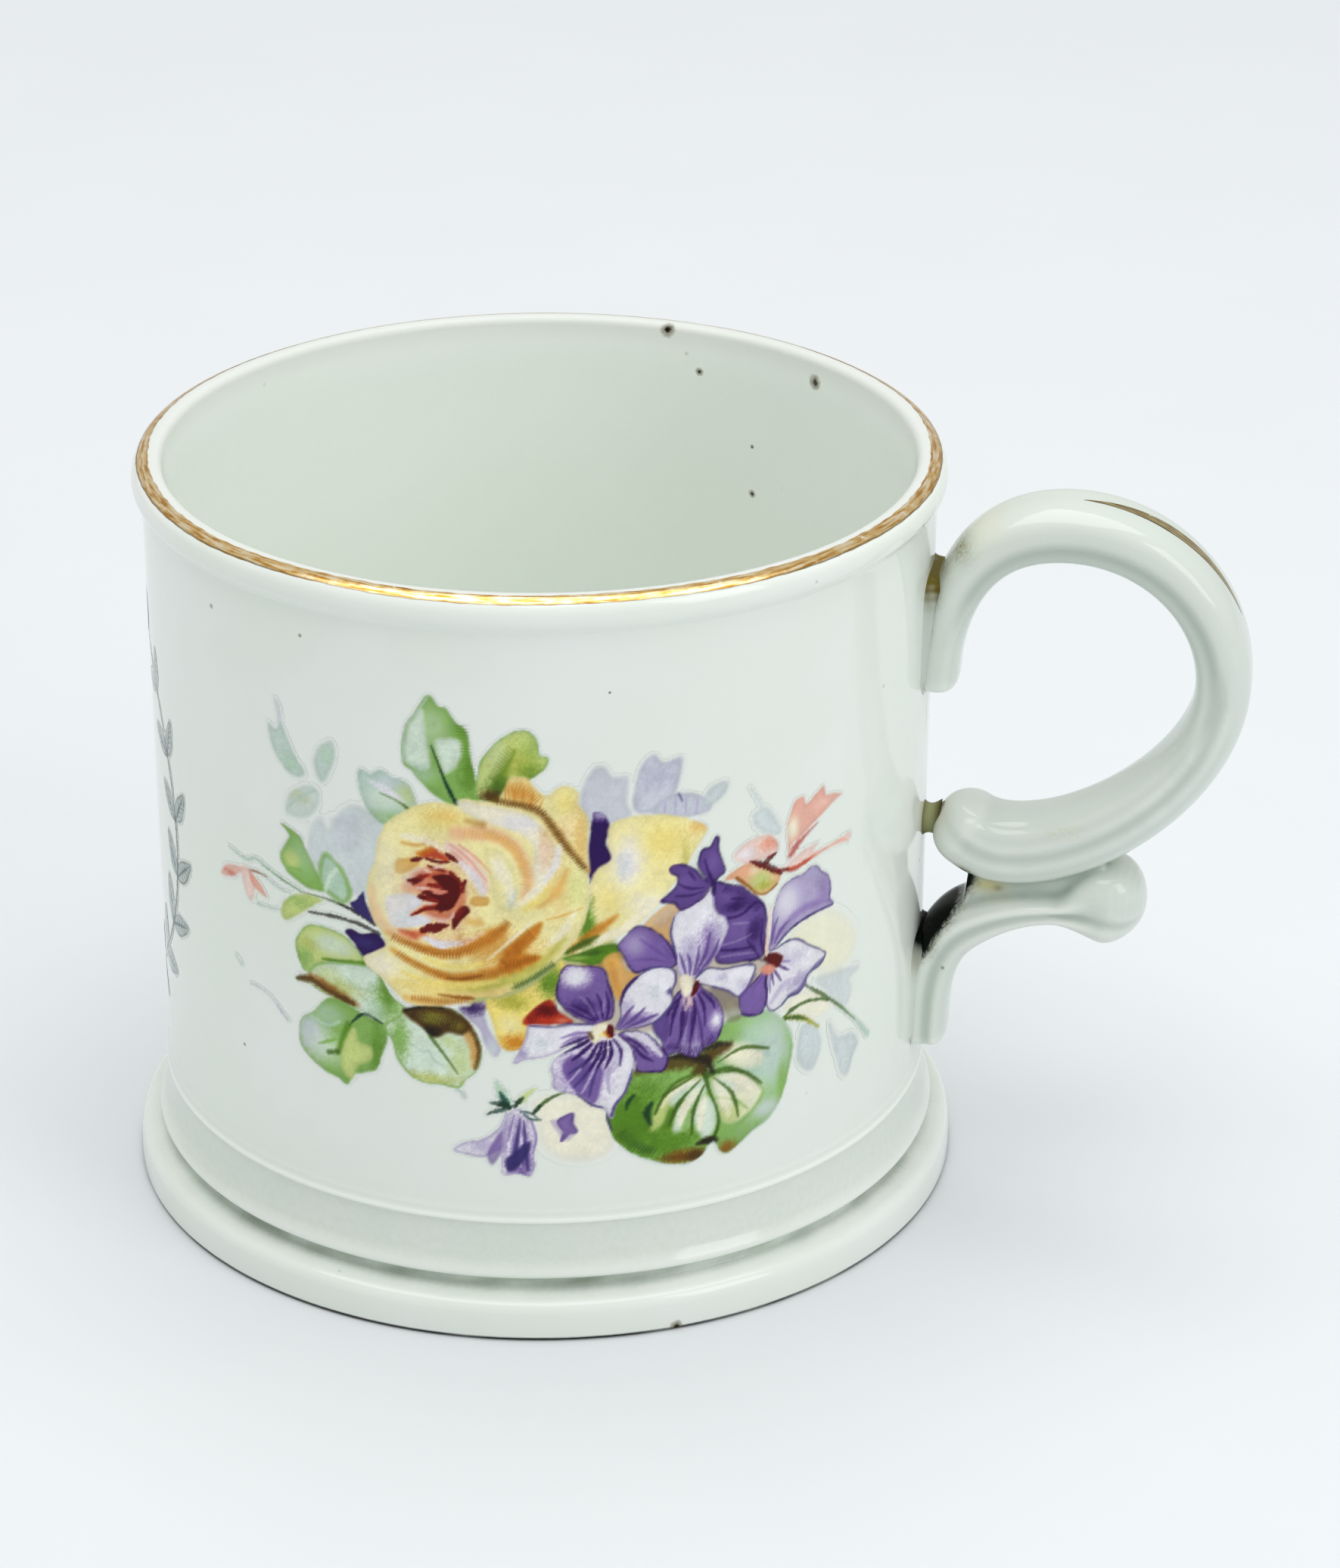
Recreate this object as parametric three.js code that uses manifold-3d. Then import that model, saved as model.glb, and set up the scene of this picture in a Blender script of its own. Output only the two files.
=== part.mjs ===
// Porcelain mug: a straight wall on a moulded foot, with a scrolled handle luted on at three places.
// Millimetres, +Z up. The mug stands on z = 0 and its handle points along +X.
// The origin is the middle of the footprint, so the axis of the wall lies a little to -X of it.

import * as THREE from "three";
import { mergeVertices } from "three/addons/utils/BufferGeometryUtils.js";
import Module from "manifold-3d";

const wasm = await Module();
wasm.setup();

// Wall and lip of the body
const MUG_HEIGHT = 85;
const WALL_TOP_RADIUS = 43.25;
const WALL_FOOT_RADIUS = 42.9;
const WALL_THICKNESS = 3;
const LIP_DEPTH = 3.9;
const LIP_OVERHANG = 1.05;
const LIP_ROLL = 2.4;
const MOUTH_FLARE = 0.1;

// Mouldings of the foot, from the table upwards
const BASE_RING_OVERHANG = 3.7;
const BASE_RING_HEIGHT = 5;
const BASE_EDGE_ROUND = 0.9;
const RING_SHOULDER = 1.7;
const RING_TOP_RISE = 0.5;
const GROOVE_HEIGHT = 1.25;
const GROOVE_OVERHANG = 0.5;
const COLLAR_OVERHANG = 1.5;
const COLLAR_HEIGHT = 0.9;
const COVE_HEIGHT = 5.2;
const COVE_DEPTH = 0.4;
const RIDGE_OVERHANG = 0.45;
const RIDGE_HEIGHT = 0.9;
const SWEEP_HEIGHT = 2.5;

// Underside and inside
const FOOT_RIM_WIDTH = 6;
const RECESS_DEPTH = 2.2;
const FLOOR_THICKNESS = 3.8;
const INNER_CORNER = 8;

// Handle: the loop that the fingers go through
const HANDLE_WIDTH = 10.5;
const HANDLE_REACH = 35.1;
const LOOP_TOP_BELOW_RIM = 2.15;
const LOOP_TOP_OUT = 14.9;
const LOOP_SIDE_BELOW_TOP = 16.8;
const LOOP_FOOT_OUT = 9.6;
const LOOP_TOP_THICKNESS = 6.8;
const LOOP_SIDE_THICKNESS = 6.1;
const LOOP_FOOT_THICKNESS = 7.9;
const TAIL_THICKNESS = 4.6;
const TAIL_LENGTH = 19.4;
const TAIL_STANDOFF = 1.1;
const SCROLL_THICKNESS = 7.4;
const SCROLL_GAP = 1;
const SCROLL_RISE = 4.2;

// Handle: the bracket that curls back under the loop to the foot of the wall
const BRACKET_ABOVE_FOOT = 0.9;
const BRACKET_DROP = 20.8;
const BRACKET_TAIL_THICKNESS = 4.9;
const BRACKET_BEND_THICKNESS = 5.8;
const BRACKET_BEND_OUT = 3.9;
const BRACKET_BEND_DROP = 6.8;
const BRACKET_WAIST_THICKNESS = 3.5;
const BRACKET_WAIST_OUT = 15;
const BRACKET_WAIST_DROP = 2.6;
const KNOB_THICKNESS = 9.6;
const KNOB_OUT = 25.2;
const KNOB_RISE = 0.7;
const WEB_WIDTH = 5.6;
const WEB_FROM_BRACKET_TAIL = 15.5;
const WEB_FROM_KNOB = 6.3;
const WEB_FROM_SCROLL = 4.9;
const WEB_BACK_ALONG_LOOP = 17.4;
const FLUTE_DEPTH = 0.8;

// Lengths of the pulls of the handle's curves, as shares of the stretch each one spans
const QUARTER_ROUND_PULL = 0.5523;
const TAIL_PULL = 0.72;
const SIDE_PULL = 0.51;
const FOOT_PULL = 0.42;
const HALF_PULL = 0.5;

// Luting slip between the handle and the wall
const SLIP_THICKNESS = 0.8;
const SEAM_GAP = 0.3;
const SCROLL_DAB_RADIUS = 1.6;
const SCROLL_DAB_DROP = 2;

// Smoothness of the facets
const WALL_SEGMENTS = 64;
const SECTION_SIDES = 24;
const ROUND_STEPS = 4;
const LOFT_STEP = 2.1;
const NOSE_STEPS = 5;
const WEB_STEPS = 9;
const SECTION_SQUARENESS = 0.72;
const FLUTE_SPREAD = 0.35;

// Glaze and slip colours
const GLAZE_COLOUR = 0xdfe4df;
const GLAZE_ROUGHNESS = 0.12;
const SLIP_COLOUR = 0x8c8560;
const SLIP_ROUGHNESS = 0.4;

// Heights up the outside of the body
const baseRingTop = BASE_RING_HEIGHT;
const collarBottom = baseRingTop + GROOVE_HEIGHT;
const collarTop = collarBottom + COLLAR_HEIGHT;
const ridgeBottom = collarTop + COVE_HEIGHT;
const ridgeTop = ridgeBottom + RIDGE_HEIGHT;
const wallBottom = ridgeTop + SWEEP_HEIGHT;
const wallTop = MUG_HEIGHT - LIP_DEPTH;
const baseRadius = WALL_FOOT_RADIUS + BASE_RING_OVERHANG;

// Outside radius of the plain wall at a height, which the handle and the slip follow
function wallRadius(z) {
  const share = (z - wallBottom) / (wallTop - wallBottom);
  return THREE.MathUtils.lerp(WALL_FOOT_RADIUS, WALL_TOP_RADIUS, share);
}

// Outside of the body as radius and height, from the table to the crest of the lip
function drawOutside(profile) {
  const grooveRadius = WALL_FOOT_RADIUS + GROOVE_OVERHANG;
  const collarRadius = WALL_FOOT_RADIUS + COLLAR_OVERHANG;
  const ridgeRadius = WALL_FOOT_RADIUS + RIDGE_OVERHANG;
  const coveRadius = ridgeRadius - COVE_DEPTH;
  const lipRadius = WALL_TOP_RADIUS + LIP_OVERHANG;
  const ringEdge = baseRingTop - RING_TOP_RISE;
  profile.lineTo(baseRadius - BASE_EDGE_ROUND, 0);
  profile.quadraticCurveTo(baseRadius, 0, baseRadius, BASE_EDGE_ROUND);
  profile.lineTo(baseRadius, ringEdge - RING_SHOULDER);
  profile.quadraticCurveTo(baseRadius, ringEdge, baseRadius - RING_SHOULDER, ringEdge);
  profile.lineTo(grooveRadius, baseRingTop);
  profile.lineTo(grooveRadius, collarBottom - GROOVE_HEIGHT / 4);
  profile.quadraticCurveTo(collarRadius, collarBottom, collarRadius, collarBottom + COLLAR_HEIGHT / 2);
  profile.lineTo(collarRadius - COLLAR_HEIGHT / 5, collarTop);
  profile.quadraticCurveTo(coveRadius, collarTop + COVE_HEIGHT / 4, coveRadius, ridgeBottom);
  profile.lineTo(ridgeRadius, ridgeBottom + RIDGE_HEIGHT / 3);
  profile.lineTo(ridgeRadius - RIDGE_HEIGHT / 8, ridgeTop);
  profile.quadraticCurveTo(WALL_FOOT_RADIUS, ridgeTop + SWEEP_HEIGHT / 3, WALL_FOOT_RADIUS, wallBottom);
  profile.lineTo(WALL_TOP_RADIUS, wallTop);
  profile.quadraticCurveTo(lipRadius, wallTop + LIP_OVERHANG, lipRadius, MUG_HEIGHT - LIP_ROLL);
  profile.quadraticCurveTo(lipRadius, MUG_HEIGHT, lipRadius - LIP_ROLL, MUG_HEIGHT);
}

// Half section of the body, from the middle of the recessed underside round to the middle of the floor
function bodyProfile() {
  const profile = new THREE.Path();
  const rimInside = baseRadius - FOOT_RIM_WIDTH;
  const floorHeight = RECESS_DEPTH + FLOOR_THICKNESS;
  const insideTop = WALL_TOP_RADIUS - WALL_THICKNESS;
  const insideFoot = WALL_FOOT_RADIUS - WALL_THICKNESS;
  const mouth = insideTop + MOUTH_FLARE;
  profile.moveTo(0, RECESS_DEPTH);
  profile.lineTo(rimInside - RECESS_DEPTH, RECESS_DEPTH);
  profile.quadraticCurveTo(rimInside - RECESS_DEPTH / 4, RECESS_DEPTH, rimInside, 0);
  drawOutside(profile);
  profile.quadraticCurveTo(mouth, MUG_HEIGHT, mouth, MUG_HEIGHT - LIP_ROLL / 2);
  profile.lineTo(insideTop, wallTop);
  profile.lineTo(insideFoot, floorHeight + INNER_CORNER);
  profile.quadraticCurveTo(insideFoot, floorHeight, insideFoot - INNER_CORNER, floorHeight);
  profile.lineTo(0, floorHeight);
  return profile.getPoints(ROUND_STEPS);
}

// A solid of revolution about Z from points of radius and height
function revolve(points) {
  const lathe = new THREE.LatheGeometry(points, WALL_SEGMENTS);
  return lathe.rotateX(Math.PI / 2);
}

// The same surface with shared vertices merged and the empty triangles on the axis dropped
function weld(geometry) {
  const bare = geometry.clone();
  bare.deleteAttribute("normal");
  bare.deleteAttribute("uv");
  const welded = mergeVertices(bare);
  const corners = welded.index.array;
  const kept = [];
  for (let i = 0; i < corners.length; i += 3) {
    const [a, b, c] = corners.slice(i, i + 3);
    if (a !== b && b !== c && c !== a) {
      kept.push(a, b, c);
    }
  }
  welded.setIndex(kept);
  return welded;
}

function toSolid(geometry) {
  const welded = weld(geometry);
  const vertProperties = new Float32Array(welded.attributes.position.array);
  const triVerts = new Uint32Array(welded.index.array);
  const mesh = new wasm.Mesh({ numProp: 3, vertProperties, triVerts });
  return new wasm.Manifold(mesh);
}

function toGeometry(solid) {
  const mesh = solid.getMesh();
  const geometry = new THREE.BufferGeometry();
  geometry.setAttribute("position", new THREE.BufferAttribute(new Float32Array(mesh.vertProperties), 3));
  geometry.setIndex(Array.from(mesh.triVerts));
  geometry.computeVertexNormals();
  return geometry;
}

// One point of a rounded-rectangle section: x across the thickness, y across the width
function sectionPoint(turn, thickness, width, flute) {
  const cosine = Math.cos(turn);
  const sine = Math.sin(turn);
  const across = Math.sign(cosine) * Math.abs(cosine) ** SECTION_SQUARENESS;
  const along = Math.sign(sine) * Math.abs(sine) ** SECTION_SQUARENESS;
  const hollow = flute * Math.exp(-((across / FLUTE_SPREAD) ** 2));
  return [(across * thickness) / 2, Math.sign(along) * Math.max(0, Math.abs(along) * (width / 2) - hollow)];
}

// Smooth change of a size between the anchors of a path
function sizeAlong(share, anchors, sizes) {
  let i = 0;
  while (i < anchors.length - 2 && share > anchors[i + 1]) {
    i += 1;
  }
  const local = THREE.MathUtils.smoothstep(share, anchors[i], anchors[i + 1]);
  return THREE.MathUtils.lerp(sizes[i], sizes[i + 1], local);
}

// Loft a section along a path in the XZ plane, closing both ends with a rounded nose
function loft({ path, thicknesses, startNose, endNose, flute = 0 }) {
  const length = path.getLength();
  const anchors = [0, ...path.getCurveLengths().map((sum) => sum / length)];
  const stations = [];
  for (let i = 1; i <= NOSE_STEPS; i += 1) {
    const turn = (i / NOSE_STEPS) * (Math.PI / 2);
    stations.push({ distance: startNose * (1 - Math.cos(turn)), scale: Math.sin(turn) });
  }
  const middle = length - startNose - endNose;
  const middleSteps = Math.ceil(middle / LOFT_STEP);
  for (let i = 1; i < middleSteps; i += 1) {
    stations.push({ distance: startNose + (middle * i) / middleSteps, scale: 1 });
  }
  for (let i = NOSE_STEPS; i >= 1; i -= 1) {
    const turn = (i / NOSE_STEPS) * (Math.PI / 2);
    stations.push({ distance: length - endNose * (1 - Math.cos(turn)), scale: Math.sin(turn) });
  }
  const position = [];
  for (const { distance, scale } of stations) {
    const share = distance / length;
    const centre = path.getPointAt(share);
    const tangent = path.getTangentAt(share);
    const thickness = sizeAlong(share, anchors, thicknesses) * scale;
    const width = HANDLE_WIDTH * scale;
    for (let j = 0; j < SECTION_SIDES; j += 1) {
      const [x, y] = sectionPoint((j / SECTION_SIDES) * 2 * Math.PI, thickness, width, flute * scale);
      position.push(centre.x + tangent.z * x, y, centre.z - tangent.x * x);
    }
  }
  const startTip = path.getPointAt(0);
  const endTip = path.getPointAt(1);
  const first = stations.length * SECTION_SIDES;
  position.push(startTip.x, 0, startTip.z, endTip.x, 0, endTip.z);
  const index = [];
  for (let j = 0; j < SECTION_SIDES; j += 1) {
    const next = (j + 1) % SECTION_SIDES;
    const lastRing = first - SECTION_SIDES;
    index.push(first, next, j);
    index.push(first + 1, lastRing + j, lastRing + next);
    for (let i = 0; i < stations.length - 1; i += 1) {
      const low = i * SECTION_SIDES;
      const high = low + SECTION_SIDES;
      index.push(low + j, low + next, high + next);
      index.push(low + j, high + next, high + j);
    }
  }
  const geometry = new THREE.BufferGeometry();
  geometry.setAttribute("position", new THREE.BufferAttribute(new Float32Array(position), 3));
  geometry.setIndex(index);
  return toSolid(geometry);
}

// A chain of cubic curves in the XZ plane through anchors that carry their own pulls
function chain(anchors) {
  const path = new THREE.CurvePath();
  for (let i = 0; i + 1 < anchors.length; i += 1) {
    const from = anchors[i];
    const to = anchors[i + 1];
    const out = from.at.clone().addScaledVector(from.heading, from.after);
    const back = to.at.clone().addScaledVector(to.heading, -to.before);
    path.add(new THREE.CubicBezierCurve3(from.at, out, back, to.at));
  }
  return path;
}

function heading(x, z) {
  return new THREE.Vector3(x, 0, z).normalize();
}

// Loop of the handle: up the wall from the tail, over the top, round the side, back to the scroll
const loopTop = MUG_HEIGHT - LOOP_TOP_BELOW_RIM;
const bracketTail = wallBottom + BRACKET_ABOVE_FOOT;
const loopFoot = bracketTail + BRACKET_DROP;
const loopTopLine = loopTop - LOOP_TOP_THICKNESS / 2;
const loopSideLine = loopTopLine - LOOP_SIDE_BELOW_TOP;
const loopFootLine = loopFoot + LOOP_FOOT_THICKNESS / 2;
const tailEnd = loopTopLine - TAIL_LENGTH;
const scrollHeight = loopFootLine + SCROLL_RISE;
const sideOut = HANDLE_REACH - LOOP_SIDE_THICKNESS / 2;

// A point of the handle, measured outwards from the wall at its own height
function fromWall(out, z) {
  return new THREE.Vector3(wallRadius(z) + out, 0, z);
}

const loopPath = chain([
  { at: fromWall(TAIL_STANDOFF, tailEnd), heading: heading(0, 1), after: TAIL_LENGTH * TAIL_PULL },
  {
    at: fromWall(LOOP_TOP_OUT, loopTopLine),
    heading: heading(1, 0),
    before: LOOP_TOP_OUT * QUARTER_ROUND_PULL,
    after: (sideOut - LOOP_TOP_OUT) * QUARTER_ROUND_PULL,
  },
  {
    at: fromWall(sideOut, loopSideLine),
    heading: heading(0, -1),
    before: LOOP_SIDE_BELOW_TOP * QUARTER_ROUND_PULL,
    after: (loopSideLine - loopFootLine) * SIDE_PULL,
  },
  {
    at: fromWall(LOOP_FOOT_OUT, loopFootLine),
    heading: heading(-1, 0),
    before: (sideOut - LOOP_FOOT_OUT) * FOOT_PULL,
    after: (LOOP_FOOT_OUT - SCROLL_GAP) * HALF_PULL,
  },
  { at: fromWall(SCROLL_GAP, scrollHeight), heading: heading(-5, 4), before: SCROLL_RISE * HALF_PULL },
]);

const loopSolid = loft({
  path: loopPath,
  thicknesses: [
    TAIL_THICKNESS,
    LOOP_TOP_THICKNESS,
    LOOP_SIDE_THICKNESS,
    LOOP_FOOT_THICKNESS,
    SCROLL_THICKNESS,
  ],
  startNose: TAIL_THICKNESS / 3,
  endNose: SCROLL_THICKNESS / 2,
});

// Bracket: from its tail at the foot of the wall, up and out under the loop, to the round knob
const waistLine = loopFoot - BRACKET_WAIST_DROP;
const bendLine = loopFoot - BRACKET_BEND_DROP;
const bracketPath = chain([
  { at: fromWall(TAIL_STANDOFF, bracketTail), heading: heading(0, 1), after: (bendLine - bracketTail) / 2 },
  {
    at: fromWall(BRACKET_BEND_OUT, bendLine),
    heading: heading(1, 1.1),
    before: BRACKET_BEND_OUT,
    after: BRACKET_BEND_OUT / 2,
  },
  {
    at: fromWall(BRACKET_WAIST_OUT, waistLine),
    heading: heading(1, 0.05),
    before: (BRACKET_WAIST_OUT - BRACKET_BEND_OUT) / 2,
    after: KNOB_THICKNESS / 4,
  },
  {
    at: fromWall(KNOB_OUT - KNOB_THICKNESS / 2, waistLine + KNOB_RISE),
    heading: heading(1, 0.1),
    before: KNOB_THICKNESS / 4,
    after: KNOB_THICKNESS / 6,
  },
  { at: fromWall(KNOB_OUT, waistLine + KNOB_RISE), heading: heading(1, 0), before: KNOB_THICKNESS / 6 },
]);

const bracketSolid = loft({
  path: bracketPath,
  thicknesses: [
    BRACKET_TAIL_THICKNESS,
    BRACKET_BEND_THICKNESS,
    BRACKET_WAIST_THICKNESS,
    KNOB_THICKNESS,
    KNOB_THICKNESS,
  ],
  startNose: BRACKET_TAIL_THICKNESS / 4,
  endNose: KNOB_THICKNESS / 2,
  flute: FLUTE_DEPTH,
});

// Points along a path, leaving out a length at its start and one at its end
function stretch(path, leftAtStart, leftAtEnd) {
  const length = path.getLength();
  const points = [];
  for (let i = 0; i <= WEB_STEPS; i += 1) {
    const distance = THREE.MathUtils.lerp(leftAtStart, length - leftAtEnd, i / WEB_STEPS);
    points.push(path.getPointAt(distance / length));
  }
  return points;
}

// Web that fills the seam between the loop and the bracket, set in from both side faces
function webSolid() {
  const lower = stretch(bracketPath, WEB_FROM_BRACKET_TAIL, WEB_FROM_KNOB);
  const loopStart = loopPath.getLength() - WEB_FROM_SCROLL - WEB_BACK_ALONG_LOOP;
  const upper = stretch(loopPath, loopStart, WEB_FROM_SCROLL);
  const outline = new THREE.Shape([...lower, ...upper].map((point) => new THREE.Vector2(point.x, point.z)));
  const web = new THREE.ExtrudeGeometry(outline, { depth: WEB_WIDTH, bevelEnabled: false });
  web.translate(0, 0, -WEB_WIDTH / 2);
  return toSolid(web.rotateX(Math.PI / 2));
}

const wholeHandle = loopSolid.add(bracketSolid).add(webSolid());

// Space that the handle is cut back from: the outside of the body and the thickness of the slip
const seatClearance = SEAM_GAP + SLIP_THICKNESS + SEAM_GAP;

function seatSpace() {
  const outside = new THREE.Path();
  outside.moveTo(0, 0);
  drawOutside(outside);
  const grown = outside.getPoints(ROUND_STEPS).slice(1);
  for (const point of grown) {
    point.x += seatClearance;
  }
  const below = new THREE.Vector2(0, -seatClearance);
  const foot = new THREE.Vector2(grown[0].x, -seatClearance);
  const crown = new THREE.Vector2(grown.at(-1).x, MUG_HEIGHT + seatClearance);
  const above = new THREE.Vector2(0, MUG_HEIGHT + seatClearance);
  return toSolid(revolve([below, foot, ...grown, crown, above]));
}

// A ring of slip that lies against the wall between two heights
function slipRing(bottom, top) {
  const inner = SEAM_GAP;
  const outer = SEAM_GAP + SLIP_THICKNESS;
  const corners = [
    [wallRadius(bottom) + inner, bottom],
    [wallRadius(bottom) + outer, bottom],
    [wallRadius(top) + outer, top],
    [wallRadius(top) + inner, top],
    [wallRadius(bottom) + inner, bottom],
  ];
  return toSolid(revolve(corners.map(([radius, z]) => new THREE.Vector2(radius, z))));
}

// Dab of slip that bridges the gap between the nose of the scroll and the wall
const dabHeight = scrollHeight - SCROLL_DAB_DROP;

function scrollDab() {
  const length = SCROLL_THICKNESS;
  const dab = new THREE.CylinderGeometry(SCROLL_DAB_RADIUS, SCROLL_DAB_RADIUS, length, SECTION_SIDES);
  dab.rotateZ(Math.PI / 2);
  dab.translate(wallRadius(dabHeight), 0, dabHeight);
  return toSolid(dab);
}

const handleSolid = wholeHandle.subtract(seatSpace());
const upperSlip = wholeHandle.intersect(slipRing(tailEnd - TAIL_THICKNESS, loopTop));
const scrollSlip = scrollDab().intersect(slipRing(loopFoot, scrollHeight + SCROLL_THICKNESS));
const lowerSlip = wholeHandle.intersect(slipRing(bracketTail - TAIL_THICKNESS, waistLine));

// The pieces, each with its own finish
function piece(name, geometry, color, roughness) {
  const material = new THREE.MeshStandardMaterial({ color, roughness, metalness: 0 });
  const mesh = new THREE.Mesh(geometry, material);
  mesh.name = name;
  return mesh;
}

const bodyGeometry = weld(revolve(bodyProfile()));
bodyGeometry.computeVertexNormals();

const mug = new THREE.Group();
mug.add(
  piece("body", bodyGeometry, GLAZE_COLOUR, GLAZE_ROUGHNESS),
  piece("handle", toGeometry(handleSolid), GLAZE_COLOUR, GLAZE_ROUGHNESS),
  piece("upper_slip_joint", toGeometry(upperSlip), SLIP_COLOUR, SLIP_ROUGHNESS),
  piece("scroll_slip_joint", toGeometry(scrollSlip), SLIP_COLOUR, SLIP_ROUGHNESS),
  piece("lower_slip_joint", toGeometry(lowerSlip), SLIP_COLOUR, SLIP_ROUGHNESS),
);
mug.position.x = (baseRadius - wallRadius(loopSideLine) - HANDLE_REACH) / 2;

export default mug;
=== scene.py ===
import math

import bpy
import numpy as np
from mathutils import Matrix, Vector
from mathutils.bvhtree import BVHTree


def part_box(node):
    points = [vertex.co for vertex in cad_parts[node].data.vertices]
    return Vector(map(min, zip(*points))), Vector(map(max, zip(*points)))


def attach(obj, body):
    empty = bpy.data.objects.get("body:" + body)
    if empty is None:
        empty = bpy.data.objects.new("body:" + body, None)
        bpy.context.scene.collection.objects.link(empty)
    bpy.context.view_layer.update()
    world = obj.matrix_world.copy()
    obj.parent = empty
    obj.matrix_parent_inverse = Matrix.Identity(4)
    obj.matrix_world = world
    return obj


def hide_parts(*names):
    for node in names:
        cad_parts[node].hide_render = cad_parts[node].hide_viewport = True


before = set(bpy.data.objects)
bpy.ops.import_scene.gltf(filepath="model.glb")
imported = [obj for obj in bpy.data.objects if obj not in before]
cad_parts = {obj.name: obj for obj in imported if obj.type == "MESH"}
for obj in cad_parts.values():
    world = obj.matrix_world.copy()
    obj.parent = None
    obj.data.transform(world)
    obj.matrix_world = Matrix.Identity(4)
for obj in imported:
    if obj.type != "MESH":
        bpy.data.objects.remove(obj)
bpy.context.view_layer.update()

# Body: porcelain thrown and turned in one piece, with a straight wall, a rolled lip and a moulded foot.
# It was dipped in a clear glaze, a little green, which rounds every edge and pools in the coves.
# The paint on it also stands in for light: painted shade in the hollows, the cove and the foot groove,
# a painted shadow along its lowest edge, a painted highlight on the ridge, and painted light inside.
# The flat ring that it stands on was wiped bare of glaze before the firing.
MM = 0.001
body_low, body_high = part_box("body")
AXIS = (body_low.x + body_high.x) / 2 / MM
WALL_BOTTOM = 15.75
WALL_TOP = 81.1
WALL_FOOT_RADIUS = 42.9
WALL_TOP_RADIUS = 43.25
RIM_HEIGHT = 85.0
TURNS = 240

UNDERSIDE = [
    [(38.4, 2.2)],
    [(40.05, 2.2), (40.6, 0.0)],
]
FOOT_MOULDINGS = [
    [(46.15, 0.0)],
    [(46.7, 0.0), (46.7, 0.5)],
    [(46.6, 2.8)],
    [(46.6, 4.5), (44.9, 4.5)],
    [(43.4, 5.0)],
    [(43.4, 5.94)],
    [(44.4, 6.25), (44.4, 6.7)],
    [(44.22, 7.15)],
    [(42.95, 8.45), (42.95, 12.35)],
    [(43.4, 12.6)],
    [(43.34, 13.15)],
    [(WALL_FOOT_RADIUS, 13.7), (WALL_FOOT_RADIUS, WALL_BOTTOM)],
]
WALL_AND_LIP = [
    [(WALL_TOP_RADIUS, WALL_TOP)],
    [(43.8, 81.6), (44.2, 82.2)],
    [(44.3, 82.7)],
    [(44.3, RIM_HEIGHT), (41.9, RIM_HEIGHT)],
    [(40.9, RIM_HEIGHT), (40.85, 83.7)],
]
INSIDE = [
    [(40.6, WALL_TOP)],
    [(39.9, 14.0)],
    [(39.9, 6.0), (31.9, 6.0)],
    [(0.0, 6.0)],
]


def turned_outline(start, stretches):
    """Points of radius and height along straight stretches (an end) and bends (a pull and an end)."""
    points = [np.array(start)]
    share = np.linspace(0, 1, 40)[1:, None]
    for stretch in stretches:
        first = points[-1]
        end = np.array(stretch[-1])
        if len(stretch) == 1:
            points.extend(first + (end - first) * share)
        else:
            pull = np.array(stretch[0])
            points.extend((1 - share) ** 2 * first + 2 * share * (1 - share) * pull + share**2 * end)
    return np.array(points)


def run_along(points):
    """How far along a line each of its points lies."""
    return np.concatenate([[0], np.cumsum(np.linalg.norm(np.diff(points, axis=0), axis=1))])


def at_distance(distance, along, points):
    """The places on a line at distances along it."""
    return np.stack([np.interp(distance, along, points[:, i]) for i in range(2)], axis=-1)


def unit(vectors):
    """The same directions, one long."""
    return vectors / np.linalg.norm(vectors, axis=-1, keepdims=True)


def bell(value, middle, width, power=2):
    """One at a middle value, falling to nothing a width or so away from it."""
    return np.exp(-(((value - middle) / width) ** power))


def smooth_along(points, radius, step):
    """Evenly spaced points with everything smaller than a radius rounded off."""
    reach = int(4 * radius / step)
    weights = np.exp(-0.5 * (np.arange(-reach, reach + 1) * step / radius) ** 2)
    weights /= weights.sum()
    padded = np.pad(points, ((reach, reach), (0, 0)), mode="reflect", reflect_type="odd")
    return np.stack([np.convolve(padded[:, i], weights, mode="valid") for i in range(2)], axis=1)


OUTLINE_STEP = 0.08


def soften(outline, radius):
    """The outline after glazing: evenly spaced, with its corners rounded off."""
    along = run_along(outline)
    even = np.arange(0, along[-1], OUTLINE_STEP)
    return smooth_along(at_distance(even, along, outline), radius, OUTLINE_STEP)


def worth_keeping(outline, turn=math.radians(6), longest=1.6):
    """Which points carry the outline: one where it has turned enough, or after the longest straight step."""
    kept = [0]
    heading = np.arctan2(*np.diff(outline, axis=0).T)
    for i in range(1, len(outline) - 1):
        far = np.linalg.norm(outline[i] - outline[kept[-1]]) > longest
        turned = abs(heading[i] - heading[min(kept[-1], len(heading) - 1)]) > turn
        if far or turned:
            kept.append(i)
    return [*kept, len(outline) - 1]


def make_piece(name, points, faces):
    """An object of the mug, smooth shaded, from points in millimetres about the axis of the wall."""
    mesh = bpy.data.meshes.new(name)
    placed = (np.asarray(points, float) + (AXIS, 0, 0)) * MM
    mesh.from_pydata(placed.tolist(), [], [list(face) for face in faces])
    mesh.polygons.foreach_set("use_smooth", np.ones(len(mesh.polygons), bool))
    mesh.update()
    piece = bpy.data.objects.new(name, mesh)
    bpy.context.scene.collection.objects.link(piece)
    return piece


def ring_faces(rows, columns, closed=True):
    """Quads between rows of points that run round, or across where they aren't closed."""
    steps = columns if closed else columns - 1
    row, column = np.meshgrid(np.arange(rows - 1) * columns, np.arange(steps), indexing="ij")
    after = (column + 1) % columns
    above = row + columns
    return np.stack([row + column, row + after, above + after, above + column], axis=-1).reshape(-1, 4)


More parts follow.
